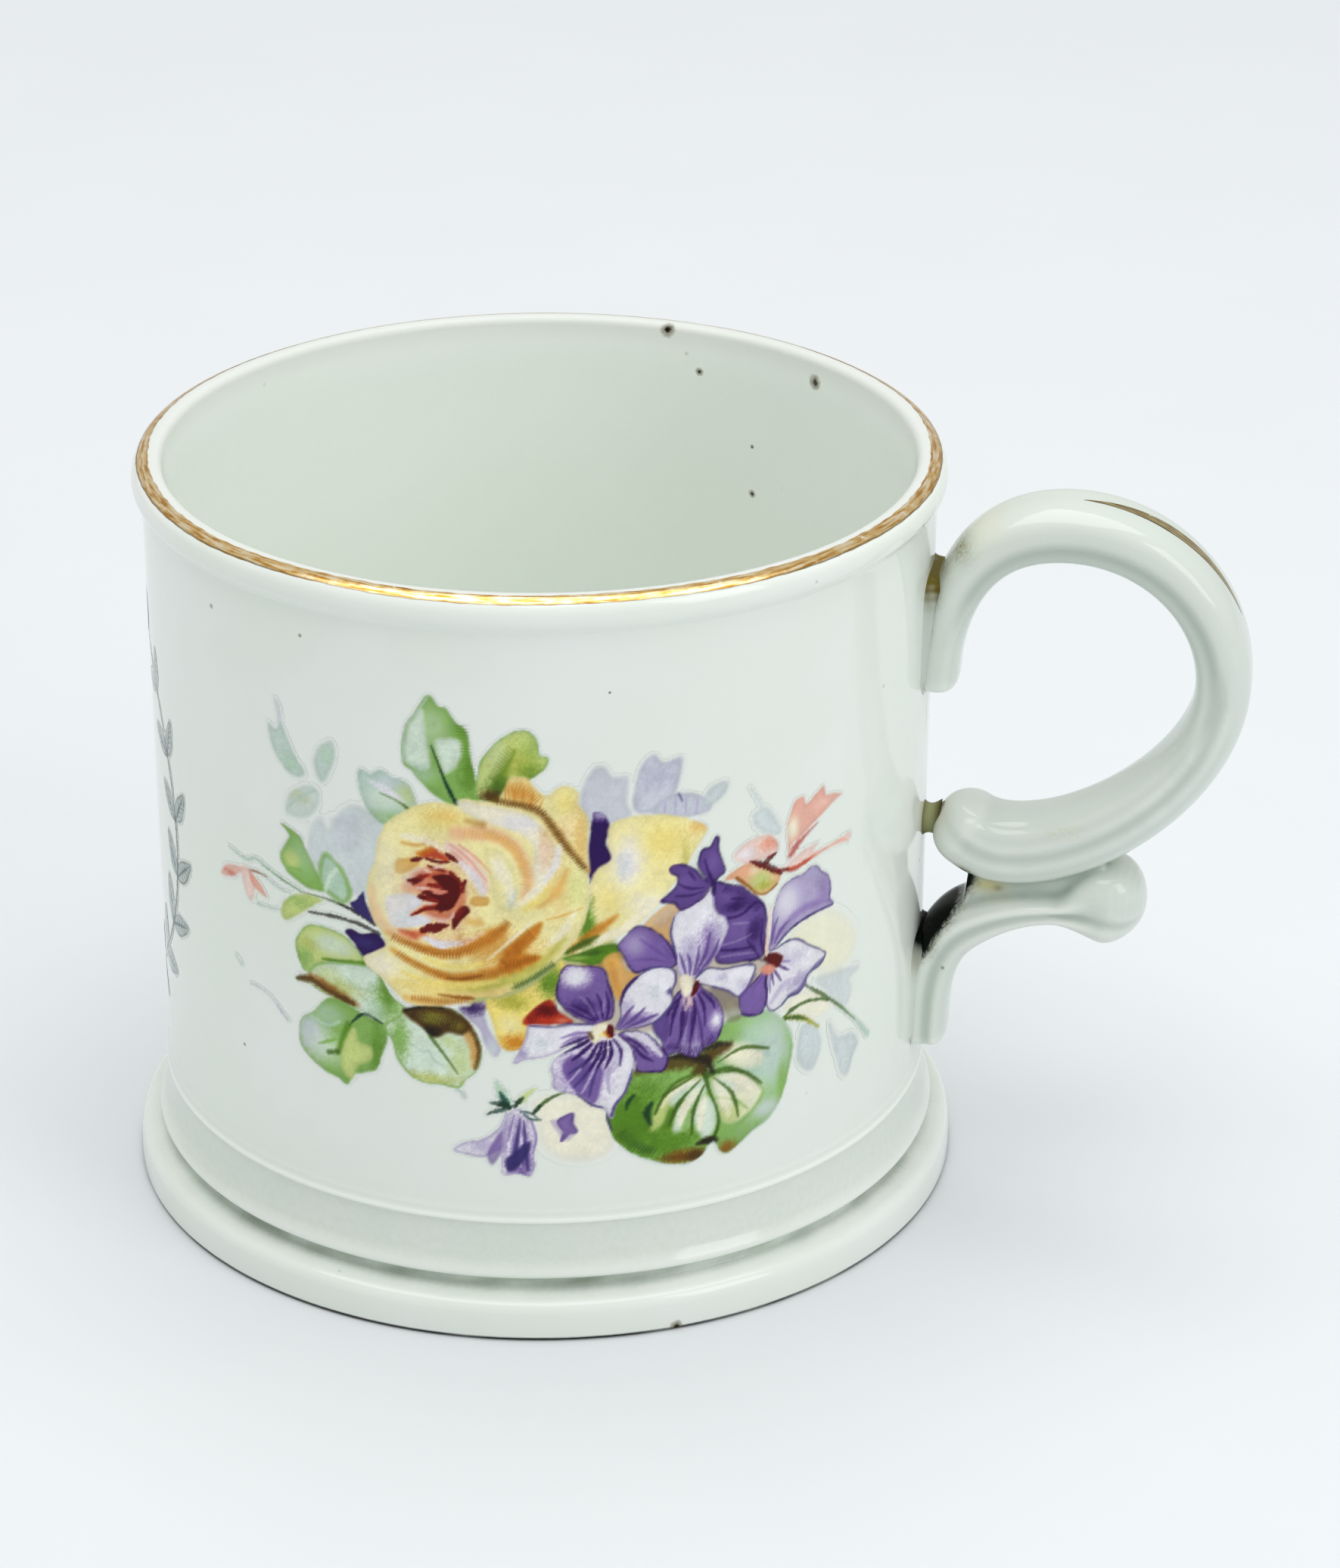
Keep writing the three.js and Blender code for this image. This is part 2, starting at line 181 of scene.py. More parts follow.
def tipped_rings(rows, columns):
    """Rings of quads closed by a fan to a tip at each end; the two tips follow the rings' points."""
    faces = ring_faces(rows, columns).tolist()
    tip = rows * columns
    last = tip - columns
    for turn in range(columns):
        after = (turn + 1) % columns
        faces.append([tip, after, turn])
        faces.append([tip + 1, last + turn, last + after])
    return faces


def about_axis(radius, turn, height):
    """Points at a radius, a turn and a height about the axis of the wall."""
    placed = np.broadcast_arrays(radius * np.cos(turn), radius * np.sin(turn), height)
    return np.stack(placed, axis=-1).reshape(-1, 3)


def hand_wobble(angle, height):
    """How far the turned clay strays from a true circle, in millimetres."""
    slow = 0.07 * np.sin(2 * angle + 0.6) + 0.05 * np.sin(3 * angle - height / 31)
    ripple = 0.02 * np.sin(7 * angle + height / 13) + 0.015 * np.sin(11 * angle - height / 7 + 1.3)
    return slow + ripple


GLAZE_SOFTENING = 0.16
POOLING_AND_SHADE_REACH = 0.8
RECESS_MIDDLE = (0.0, 2.2)
body_outline = turned_outline(RECESS_MIDDLE, UNDERSIDE + FOOT_MOULDINGS + WALL_AND_LIP + INSIDE)
fine_profile = soften(body_outline, GLAZE_SOFTENING)
along_profile = unit(np.gradient(fine_profile, axis=0))
filled = smooth_along(fine_profile, POOLING_AND_SHADE_REACH, OUTLINE_STEP) - fine_profile
fine_hollow = filled[:, 0] * along_profile[:, 1] - filled[:, 1] * along_profile[:, 0]
kept_rows = worth_keeping(fine_profile)
profile = fine_profile[kept_rows]
profile[:, 0] = np.maximum(profile[:, 0], 0)
row_hollow = fine_hollow[kept_rows][1:-1]
angles = np.arange(TURNS) / TURNS * 2 * math.pi
inner_rows = profile[1:-1]
wobble = hand_wobble(angles, inner_rows[:, 1, None]) * np.clip(inner_rows[:, 1, None] / 6, 0, 1)
body_points = about_axis(inner_rows[:, 0, None] + wobble, angles, inner_rows[:, 1, None])
body_points = np.vstack([body_points, [(0, 0, profile[0, 1])], [(0, 0, profile[-1, 1])]])
body = make_piece("mug_body", body_points, tipped_rings(len(inner_rows), TURNS))


def put(tree, kind, plugged=None, **settings):
    """A node with its settings, and with values or other nodes' sockets plugged into it."""
    node = tree.nodes.new(kind)
    for name, value in settings.items():
        setattr(node, name, value)
    for name, source in (plugged or {}).items():
        if isinstance(source, bpy.types.NodeSocket):
            tree.links.new(source, node.inputs[name])
        else:
            node.inputs[name].default_value = source
    return node


def linear_light(share):
    """The shader's own linear numbers for shares of red, green and blue as a screen shows them."""
    return np.where(share <= 0.04045, share / 12.92, ((share + 0.055) / 1.055) ** 2.4)


def srgb(red, green, blue):
    """A colour as a painter names it, 0 to 255, for the shader."""
    return (*linear_light(np.array([red, green, blue]) / 255).tolist(), 1.0)


def noise(tree, scale, detail):
    """A cloud that is fixed to the piece, as a share."""
    place = put(tree, "ShaderNodeTexCoord").outputs["Object"]
    cloud = put(tree, "ShaderNodeTexNoise", {"Vector": place, "Scale": scale, "Detail": detail})
    return cloud.outputs["Fac"]


def ranged(tree, value, low, high, to_low=0.0, to_high=1.0):
    """A value brought from one range to another."""
    limits = {"From Min": low, "From Max": high, "To Min": to_low, "To Max": to_high}
    return put(tree, "ShaderNodeMapRange", {"Value": value, **limits}).outputs["Result"]


def reckoned(tree, operation, *values, **settings):
    """The result of a sum on values or other nodes' sockets."""
    node = put(tree, "ShaderNodeMath", dict(enumerate(values)), operation=operation, **settings)
    return node.outputs["Value"]


def ramp(tree, share, *stops):
    """Colours that run into each other, from stops of a place and a colour."""
    node = put(tree, "ShaderNodeValToRGB", {"Fac": share})
    elements = node.color_ramp.elements
    for element, stop in zip(list(elements), (stops[0], stops[-1])):
        element.position, element.color = stop
    for position, colour in stops[1:-1]:
        elements.new(position).color = colour
    return node.outputs["Color"]


def new_material(name):
    """A material with its tree and its shader."""
    material = bpy.data.materials.new(name)
    material.use_nodes = True
    return material, material.node_tree, material.node_tree.nodes["Principled BSDF"]


GLAZE_WHITE = srgb(236, 240, 235)
GLAZE_GREENER = srgb(231, 238, 229)
PINHOLE = srgb(150, 150, 128)
RUST = srgb(104, 86, 34)
IRON = srgb(20, 18, 10)
IRON_SPECKS = [
    ((7.35, 40.34, 84.41), 0.62),
    ((11.27, 38.99, 79.93), 0.36),
    ((25.81, 31.48, 82.28), 0.62),
    ((17.95, 36.31, 72.06), 0.2),
    ((18.03, 36.2, 66.25), 0.34),
    ((-28.6, -32.2, 77.3), 0.26),
    ((14.8, -40.5, 74.4), 0.13),
    ((22.1, -41.13, 0.45), 0.5),
]


def blended(tree, share, under, over):
    """One colour over another, by a share."""
    mixed = put(tree, "ShaderNodeMix", {0: share, 6: under, 7: over}, data_type="RGBA")
    return mixed.outputs[2]


def glaze_colour(tree):
    """Porcelain seen through its glaze: slow drifts of tint and a scatter of fine pinholes."""
    place = put(tree, "ShaderNodeTexCoord").outputs["Object"]
    tint = ramp(tree, noise(tree, 55.0, 3.0), (0.35, GLAZE_GREENER), (0.65, GLAZE_WHITE))
    pits = put(tree, "ShaderNodeTexVoronoi", {"Vector": place, "Scale": 330.0})
    chosen = put(tree, "ShaderNodeSeparateColor", {"Color": pits.outputs["Color"]})
    few = ranged(tree, chosen.outputs["Red"], 0.93, 0.97)
    small = ranged(tree, pits.outputs["Distance"], 0.1, 0.04)
    return blended(tree, reckoned(tree, "MULTIPLY", few, small), tint, PINHOLE)


def iron_specks(tree, colour):
    """Specks of iron that burnt through the glaze in the kiln, each with a rusty halo."""
    place = put(tree, "ShaderNodeTexCoord").outputs["Object"]
    ragged = noise(tree, 2200.0, 2.0)
    for (x, y, z), size in IRON_SPECKS:
        spot = ((x + AXIS) * MM, y * MM, z * MM)
        away = put(tree, "ShaderNodeVectorMath", {0: place, 1: spot}, operation="DISTANCE")
        uneven = reckoned(tree, "MULTIPLY_ADD", ragged, size * 0.9 * MM, away.outputs["Value"])
        for ink, edge, cover in ((RUST, 1.8, 0.6), (IRON, 1.05, 1.0)):
            share = ranged(tree, uneven, size * (edge + 0.3) * MM, size * edge * 0.8 * MM, 0.0, cover)
            colour = blended(tree, share, colour, ink)
    return colour


def glaze_ripple(tree):
    """The slight ripple that a dip leaves in a glaze."""
    broad = noise(tree, 90.0, 2.0)
    bump = put(tree, "ShaderNodeBump", {"Height": broad, "Strength": 0.06, "Distance": 0.001})
    return bump.outputs["Normal"]


def speckled_cover(tree, cover):
    """A painted layer's cover with a speckled edge, as dirt and stains have."""
    swing = ranged(tree, noise(tree, 1500.0, 4.0), 0.3, 0.7, -0.22, 0.22)
    edge = reckoned(tree, "MULTIPLY", reckoned(tree, "SUBTRACT", 1.0, cover), cover)
    return reckoned(tree, "MULTIPLY_ADD", edge, swing, cover, use_clamp=True)


def glazed(name, layered=False, speckled=False, specks=False):
    """Glazed porcelain, with a painted layer over it where the mesh carries one in its colours."""
    material, tree, shader = new_material(name)
    colour = glaze_colour(tree)
    if layered:
        layer = put(tree, "ShaderNodeAttribute", attribute_name="layer")
        cover = layer.outputs["Alpha"]
        if speckled:
            cover = speckled_cover(tree, cover)
        colour = blended(tree, cover, colour, layer.outputs["Color"])
        dull = put(tree, "ShaderNodeAttribute", attribute_name="dull")
        shine = ranged(tree, dull.outputs["Fac"], 0.0, 1.0, 0.5, 0.03)
        tree.links.new(shine, shader.inputs["Specular IOR Level"])
    if specks:
        colour = iron_specks(tree, colour)
    tree.links.new(colour, shader.inputs["Base Color"])
    tree.links.new(glaze_ripple(tree), shader.inputs["Normal"])
    shader.inputs["Roughness"].default_value = 0.09
    shader.inputs["IOR"].default_value = 1.52
    return material


def paint_layer(piece, colours, strengths, dull=None):
    """Stores a painted layer on a mesh: a colour, how much it covers and where it is dull, for each point."""
    if dull is not None:
        matt = piece.data.attributes.new("dull", "FLOAT", "POINT")
        matt.data.foreach_set("value", np.clip(dull, 0, 1).astype(np.float32))
    layer = piece.data.color_attributes.new("layer", "FLOAT_COLOR", "POINT")
    values = np.concatenate([np.asarray(colours)[:, :3], np.asarray(strengths)[:, None]], axis=1)
    layer.data.foreach_set("color", values.astype(np.float32).ravel())


def composed(layers):
    """Layers of a share and a colour, laid one over the other, as one colour and cover for each point."""
    count = len(layers[0][0])
    colours = np.zeros((count, 3))
    cover = np.zeros(count)
    for share, colour in layers:
        share = np.clip(np.asarray(share, float), 0, 1)
        total = cover + share - cover * share
        under = (cover * (1 - share))[:, None] * colours
        colours = (under + share[:, None] * np.array(colour[:3])) / np.maximum(total, 1e-6)[:, None]
        cover = total
    return colours, cover


def patchy(angle, height):
    """Uneven patches round the foot, about minus one to one."""
    long = np.sin(3 * angle + 0.8) + np.sin(7 * angle - 1.9) + 0.8 * np.sin(13 * angle + height)
    return (long + np.sin(29 * angle - 2 * height) + 0.6 * np.sin(53 * angle + 0.5)) / 3


POOLED_GLAZE_AND_SHADE = srgb(172, 188, 172)
FOOT_DIRT_AND_SHADE = srgb(124, 140, 118)
FOOT_CONTACT_SHADOW = srgb(12, 34, 28)
WORN_LIP = srgb(216, 219, 214)
DRIP = srgb(186, 186, 142)
# near black: painted shade and grime for the crevices
SHADE_AND_GRIME = srgb(16, 20, 15)
BARE_CLAY = srgb(206, 200, 186)
PAINTED_LIGHT_WHITE = srgb(243, 249, 242)
GROOVE_HEIGHT = 5.45
COVE_HEIGHT = 9.4
RIDGE_HEIGHT = 13.1
DRIP_HEIGHT = 57
MID_WALL = 42
FOOT_ZONE = 20
FOOT_EDGE = 45
BARE_RING = (40.4, 46)
WORN_FROM = 83.4
WORN_RADIUS = 43.4
around = np.arctan2(body_points[:, 1], body_points[:, 0])
out_at, up_at = np.hypot(body_points[:, 0], body_points[:, 1]), body_points[:, 2]
hollow = np.concatenate([np.repeat(row_hollow, TURNS), [0, 0]])
outside = (out_at > MID_WALL) & (up_at < FOOT_ZONE)
in_groove = bell(up_at, GROOVE_HEIGHT, 0.6) * outside
# painted shadow: the lowest half millimetre of the base ring, dark where it meets the floor, and dull
under_edge = np.clip(3.8 - up_at * 8, 0, 1) * (out_at > FOOT_EDGE)
lip_top = np.clip((up_at - WORN_FROM) / 0.8, 0, 1) * (out_at < WORN_RADIUS)
down_the_wall = bell(up_at, DRIP_HEIGHT, 2.4, 4) * (np.cos(around) > 0)
drip = bell(out_at * np.sin(around), -0.9, 0.6) * down_the_wall
bare_ring = (up_at < 0.3) & (out_at > BARE_RING[0]) & (out_at < BARE_RING[1])
body_layers = [
    # painted light: the inside wall and floor painted whiter than the glaze, to brighten where less light
    # reaches in
    (0.8 * np.clip((MID_WALL - out_at) / 1.6, 0, 1) * (up_at > 4), PAINTED_LIGHT_WHITE),
    # pooled glaze and painted shade: the hollows of the foot mouldings darker green-grey the deeper they lie
    (hollow * 1.6 * outside, POOLED_GLAZE_AND_SHADE),
    # painted shade with some pooled glaze: a darker band over the cove under the ridge
    (0.24 * bell(up_at, COVE_HEIGHT, 2.4, 4) * outside, POOLED_GLAZE_AND_SHADE),
    # painted highlight: a bright line along the ridge edge above the cove
    (0.9 * bell(up_at, RIDGE_HEIGHT, 0.4) * outside, PAINTED_LIGHT_WHITE),
    # dirt and painted shade: a patchy dark green-grey in the undercut groove above the base ring
    (in_groove * (0.42 + 0.5 * patchy(around, up_at)), FOOT_DIRT_AND_SHADE),
    (bare_ring * 0.85, BARE_CLAY),
    # painted contact shadow along the foot's lowest edge
    (under_edge * (1.0 + 0.25 * patchy(around, up_at)), FOOT_CONTACT_SHADOW),
    (0.7 * lip_top, WORN_LIP),
    (0.7 * drip * (out_at > MID_WALL), DRIP),
]
paint_layer(body, *composed(body_layers), under_edge + 0.85 * lip_top)
body.data.materials.append(glazed("body_glaze", layered=True, speckled=True, specks=True))
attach(body, "root")
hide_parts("body")

# Handle: pressed porcelain in one piece: a finger loop, a scroll at its lower end, and a bracket that
# curls back under the loop to a round knob, with a web between the two.
# It was luted to the leather-hard wall and glazed with it, so its creases are rounded and filled.
HANDLE_WIDTH = 10.5
SEAT = 0.15
SCROLL_GAP = 1.3
GROOVE_FADE = 5.0
BAR_SQUARENESS = 0.72
NOSE_STEPS = 8
HEADING_STEP = 0.05


def wall_radius(z):
    """Outside radius of the plain wall at a height."""
    widening = WALL_TOP_RADIUS - WALL_FOOT_RADIUS
    return WALL_FOOT_RADIUS + widening * (z - WALL_BOTTOM) / (WALL_TOP - WALL_BOTTOM)


def off_wall(out, z):
    """A place in the plane of the handle, so far out from the wall."""
    return np.array([wall_radius(z) + out, z])


def curve_through(anchors, steps=80):
    """Even points and their shares of the length along curves through anchors (place, heading, pulls)."""
    points = []
    knots = [0]
    share = np.linspace(0, 1, steps)[:, None]
    for (start, out, _, after), (end, back, before, _) in zip(anchors, anchors[1:]):
        first = start + np.array(out) / np.linalg.norm(out) * after
        second = end - np.array(back) / np.linalg.norm(back) * before
        curve = (1 - share) ** 3 * start + 3 * share * (1 - share) ** 2 * first
        curve = curve + 3 * share**2 * (1 - share) * second + share**3 * end
        points.extend(curve if not points else curve[1:])
        knots.append(len(points) - 1)
    points = np.array(points)
    along = run_along(points)
    return points, along, along[knots]


def heading_at(distance, along, points):
    """The directions of a line at distances along it."""
    ahead = at_distance(distance + HEADING_STEP, along, points)
    return unit(ahead - at_distance(distance - HEADING_STEP, along, points))


def loft(path, thicknesses, noses, grooves, sides=112, step=0.35):
    """Points and faces of a rounded bar along a path, with round noses and grooves down each side.

    A groove is its place across the flank at its start and at its end, from -1 to 1, its half width there,
    its depth in millimetres, and the distances along the path where it starts and stops.
    """
    points, along, knots = path
    length = along[-1]
    turn = np.linspace(0, math.pi / 2, NOSE_STEPS + 1)[1:]
    first = np.stack([noses[0] * (1 - np.cos(turn)), np.sin(turn)], axis=1)
    last = np.stack([length - noses[1] * (1 - np.cos(turn)), np.sin(turn)], axis=1)[::-1]
    middle = np.arange(noses[0] + step, length - noses[1], step)
    stations = np.concatenate([first, np.stack([middle, np.ones_like(middle)], axis=1), last])
    distance, scale = stations.T
    centre = at_distance(distance, along, points)
    tangent = heading_at(distance, along, points)
    span = np.clip(np.searchsorted(knots, distance, side="right") - 1, 0, len(knots) - 2)
    local = np.clip((distance - knots[span]) / (knots[span + 1] - knots[span]), 0, 1)
    local = local * local * (3 - 2 * local)
    sizes = np.array(thicknesses)
    thickness = (sizes[span] * (1 - local) + sizes[span + 1] * local) * scale
    angle = np.arange(sides) / sides * 2 * math.pi
    across = np.sign(np.cos(angle)) * np.abs(np.cos(angle)) ** BAR_SQUARENESS
    side = np.sign(np.sin(angle)) * np.abs(np.sin(angle)) ** BAR_SQUARENESS
    sunk = np.zeros((len(distance), sides))
    for first_place, last_place, half_width, depth, start, stop in grooves:
        place = np.interp(distance, [start, stop], [first_place, last_place])[:, None]
        fade = np.clip((distance - start) / GROOVE_FADE, 0, 1)
        fade = fade * np.clip((stop - distance) / GROOVE_FADE, 0, 1)
        sunk += depth * fade[:, None] * bell(across, place, half_width)
    wide = np.abs(side) * HANDLE_WIDTH / 2
    wide = wide - np.minimum(sunk, wide)
    out = thickness[:, None] / 2 * across
    x = centre[:, 0, None] + tangent[:, 1, None] * out
    z = centre[:, 1, None] - tangent[:, 0, None] * out
    y = np.sign(side) * wide * scale[:, None]
    ring_points = np.stack([x, y, z], axis=-1).reshape(-1, 3)
    tips = np.array([[points[0, 0], 0, points[0, 1]], [points[-1, 0], 0, points[-1, 1]]])
    return np.vstack([ring_points, tips]), tipped_rings(len(distance), sides)


LOOP_TOP = 79.45
LOOP_SIDE = 62.65
LOOP_FOOT = 41.4
loop_path = curve_through(
    [
        (off_wall(1.1, 60.05), (0, 1), 0, 13.97),
        (off_wall(14.9, LOOP_TOP), (1, 0), 8.23, 9.47),
        (off_wall(32.05, LOOP_SIDE), (0, -1), 9.28, 10.84),
        (off_wall(9.6, LOOP_FOOT), (-1, 0), 9.43, 4.3),
        (off_wall(2.0, LOOP_FOOT + 4.0), (-5, 3.6), 2.1, 0),
    ]
)
bracket_path = curve_through(
    [
        (off_wall(1.1, 16.65), (0, 1), 0, 7.0),
        (off_wall(3.9, 30.65), (1, 1.1), 3.9, 1.95),
        (off_wall(15.0, 34.85), (1, 0.05), 5.55, 2.4),
        (off_wall(20.4, 35.55), (1, 0.1), 2.4, 1.6),
        (off_wall(25.2, 35.55), (1, 0), 1.6, 0),
    ]
)
LOOP_GROOVES = [
    (0.44, 0.3, 0.27, 0.65, 8, 62),
    (0.0, 0.0, 0.2, 0.34, 50, 97),
    (-0.52, -0.52, 0.14, 0.16, 54, 93),
    (0.52, 0.52, 0.15, 0.14, 60, 95),
]
BRACKET_GROOVES = [
    (0.1, 0.05, 0.28, 0.6, -4, 33),
    (-0.12, 0.75, 0.17, 0.55, 25, 41),
    (-0.62, -0.62, 0.12, 0.16, 8, 30),
]
loop_bar = loft(loop_path, [4.6, 6.8, 6.1, 7.9, 7.2], (1.53, 3.6), LOOP_GROOVES)
bracket_bar = loft(bracket_path, [4.9, 5.8, 3.5, 9.6, 9.6], (1.22, 4.8), BRACKET_GROOVES)


def stretch_of(path, start, end, steps=24):
    """Even points of a path between two distances along it."""
    points, along, _ = path
    return at_distance(np.linspace(start, end, steps), along, points)


def plugged_rings(rows, columns):
    """Rings of quads closed by a flat face at each end."""
    faces = ring_faces(rows, columns).tolist()
    faces.append(list(range(columns))[::-1])
    faces.append([(rows - 1) * columns + i for i in range(columns)])
    return faces


WEB_WIDTH = 5.6
WEB_START = 15.5
WEB_SHORT_OF_KNOB = 6.3
WEB_BEFORE_SCROLL = (22.3, 4.9)


def web_between():
    """The web that fills the seam between the loop and the bracket."""
    lower = stretch_of(bracket_path, WEB_START, bracket_path[1][-1] - WEB_SHORT_OF_KNOB)
    upper = stretch_of(loop_path, *(loop_path[1][-1] - short for short in WEB_BEFORE_SCROLL))
    outline = np.vstack([lower, upper])
    count = len(outline)
    right_side = np.stack([outline[:, 0], np.full(count, -WEB_WIDTH / 2), outline[:, 1]], axis=1)
    left_side = right_side * (1, -1, 1)
    return np.vstack([right_side, left_side]), plugged_rings(2, count)


def joined(*bars):
    """Several closed shapes as one list of points and faces."""
    points = []
    faces = []
    for bar_points, bar_faces in bars:
        start = sum(len(p) for p in points)
        points.append(bar_points)
        faces.extend([[start + i for i in face] for face in bar_faces])
    return np.vstack(points), faces


def fused(points, faces, voxel, smoothing):
    """One skin around several shapes, with its creases filled as a glaze fills them."""
    mesh = bpy.data.meshes.new("fusing")
    mesh.from_pydata(points.tolist(), [], faces)
    holder = bpy.data.objects.new("fusing", mesh)
    bpy.context.scene.collection.objects.link(holder)
    remesh = holder.modifiers.new("fuse", "REMESH")
    remesh.mode = "VOXEL"
    remesh.voxel_size = voxel
    smooth = holder.modifiers.new("glaze_fill", "SMOOTH")
    smooth.factor = 0.5
    smooth.iterations = smoothing
    evaluated = holder.evaluated_get(bpy.context.evaluated_depsgraph_get())
    skin = bpy.data.meshes.new_from_object(evaluated)
    flat = np.empty(len(skin.vertices) * 3)
    skin.vertices.foreach_get("co", flat)
    skin_faces = [list(polygon.vertices) for polygon in skin.polygons]
    bpy.data.objects.remove(holder)
    bpy.data.meshes.remove(mesh)
    bpy.data.meshes.remove(skin)
    return flat.reshape(-1, 3), skin_faces


def seated(points):
    """The points with those inside the wall brought out to the seat on it, or to the gap at the scroll."""
    reach = np.hypot(points[:, 0], points[:, 1])
    at_scroll = bell(points[:, 2], LOOP_FOOT + 3, 5, 4)
    seat = wall_radius(points[:, 2]) + SEAT + (SCROLL_GAP - SEAT) * at_scroll
    push = np.maximum(seat / reach, 1)
    return points * np.stack([push, push, np.ones_like(push)], axis=1)


HANDLE_GRAIN = 0.27
CREASE_FILLING = 4
handle_parts = joined(loop_bar, bracket_bar, web_between())
handle_points, handle_faces = fused(*handle_parts, HANDLE_GRAIN, CREASE_FILLING)
handle_points = seated(handle_points)
handle = make_piece("scroll_handle", handle_points, handle_faces)


def hollows(piece, points, rounds=24):
    """How deep each point lies under a slack skin over the piece, in millimetres; a crest is negative."""
    mesh = piece.data
    edges = np.empty(len(mesh.edges) * 2, int)
    mesh.edges.foreach_get("vertices", edges)
    normals = np.empty(len(points) * 3)
    mesh.vertices.foreach_get("normal", normals)
    one, two = edges.reshape(-1, 2).T
    ends, others = np.concatenate([one, two]), np.concatenate([two, one])
    neighbours = np.bincount(ends, minlength=len(points))
    slack = np.array(points)
    for _ in range(rounds):
        sums = [np.bincount(ends, weights=slack[others, i], minlength=len(points)) for i in range(3)]
        slack = (slack + np.stack(sums, axis=1) / neighbours[:, None]) / 2
    return ((slack - points) * normals.reshape(-1, 3)).sum(axis=1)


def beside(points, path):
    """Distance along a path of the nearest point on it, and how far to its right side each point lies."""
    line, along, _ = path
    flat = points[:, [0, 2]]
    parts = np.array_split(flat, 40)
    nearest = np.concatenate([((part[:, None] - line) ** 2).sum(axis=2).argmin(axis=1) for part in parts])
    heading = unit(np.gradient(line, axis=0)[nearest])
    away = flat - line[nearest]
    return along[nearest], away[:, 0] * heading[:, 1] - away[:, 1] * heading[:, 0]


def near(points, place, radius):
    """One at a place and falling smoothly to nothing a radius away from it."""
    away = np.linalg.norm((points - np.array(place)) / np.array(radius), axis=1)
    return np.exp(-(away**2) * 1.6)


def close_to_line(points, line, reach):
    """One near a line in the plane of the handle, falling to nothing over half its reach more."""
    flat = points[:, [0, 2]]
    away = np.full(len(points), np.inf)
    for start, end in zip(np.array(line), np.array(line[1:])):
        share = np.clip((flat - start) @ (end - start) / ((end - start) @ (end - start)), 0, 1)
        away = np.minimum(away, np.linalg.norm(flat - start - share[:, None] * (end - start), axis=1))
    return np.clip(3 - 2 * away / reach, 0, 1)


OLIVE = srgb(112, 100, 40)
YELLOWED = srgb(196, 190, 134)
WARMED = srgb(222, 216, 192)
HANDLE_POOLED_GLAZE_AND_SHADE = srgb(162, 178, 166)
SHADED_GRIMY_CREASE = [(47.7, 38.0), (46.6, 36.0), (45.0, 33.6), (43.8, 31.8), (43.1, 30.0)]
along_loop, inward = beside(handle_points, loop_path)
# painted shade with some pooled glaze: the downward-facing inner half of the loop's flank, along most of the
# loop
inner_side = np.clip((inward + 0.1) / 1.2, 0, 1) * np.clip((3.5 - inward) / 1.0, 0.3, 1)
inner_side *= np.clip((along_loop - 6) / 8, 0, 1) * np.clip((66 - along_loop) / 20, 0, 1)
spatter = np.random.default_rng(4).uniform(-1, 1, len(handle_points))
crease_fringe = close_to_line(handle_points, SHADED_GRIMY_CREASE, 1.7)
# painted shade and grime: the crevice between the bracket's tail and the wall, near black
crease = close_to_line(handle_points, SHADED_GRIMY_CREASE, 1.25)
handle_layers = [
    # pooled glaze and painted shade: a grey-green tint over the whole handle, deeper in its hollows, lighter
    # on crests
    (0.44 + 2.2 * hollows(handle, handle_points), HANDLE_POOLED_GLAZE_AND_SHADE),
    # painted shade on the inner flank of the loop
    (0.4 * inner_side, HANDLE_POOLED_GLAZE_AND_SHADE),
    (0.5 * near(handle_points, (48.0, -1.0, 80.0), (5.0, 7.0, 3.0)), WARMED),
    (0.6 * near(handle_points, (45.0, -1.0, 46.0), (1.2, 7.0, 3.4)), WARMED),
    (0.75 * near(handle_points, (45.9, -2.5, 77.5), (2.2, 6.0, 1.8)) * (1 + 0.5 * spatter), OLIVE),
    (1.2 * near(handle_points, (44.1, -4.2, 75.4), (1.3, 4.0, 1.7)) * (1 + 0.3 * spatter), OLIVE),
    (1.0 * near(handle_points, (43.8, -5.2, 73.2), (0.9, 1.6, 2.4)) * (1 + 0.4 * spatter), OLIVE),
    (0.5 * near(handle_points, (43.5, -5.2, 69.5), (0.5, 1.4, 3.4)) * (1 + 0.5 * spatter), OLIVE),
    # painted shade: a darker line along the crease where the loop meets the web
    (0.45 * near(handle_points, (53.5, -3.0, 37.2), (7.0, 3.4, 0.9)), HANDLE_POOLED_GLAZE_AND_SHADE),
    (0.95 * near(handle_points, (50.7, -3.0, 37.2), (2.4, 3.4, 1.2)), YELLOWED),
    (0.6 * near(handle_points, (51.8, -3.0, 36.9), (0.7, 3.4, 0.5)), OLIVE),
    (near(handle_points, (57.5, -5.2, 45.4), (3.6, 1.2, 1.0)) * (0.35 + 0.4 * spatter), YELLOWED),
    (crease_fringe * (0.35 + 0.3 * spatter), OLIVE),
    # painted shade and grime in the crevice, dull and near black
    (crease * (1.1 + 0.35 * spatter * (crease < 1)), SHADE_AND_GRIME),
]
paint_layer(handle, *composed(handle_layers), crease)
handle.data.materials.append(glazed("handle_glaze", layered=True))
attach(handle, "root")
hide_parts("handle")

# Slip joints: liquid clay between the handle and the wall at three places, fired with them.
# At the two tails it is a bead that fillets the crease; at the scroll it is a dab that bridges a gap.
# Tea and dust have browned the bare spots where the glaze ran thin.
BEAD = [
    (0.5, -0.05), (0.36, 0.03), (0.24, 0.1), (0.13, 0.22),
    (0.05, 0.4), (-0.05, 0.65), (-0.2, 0.95), (-0.7, 1.3),
]


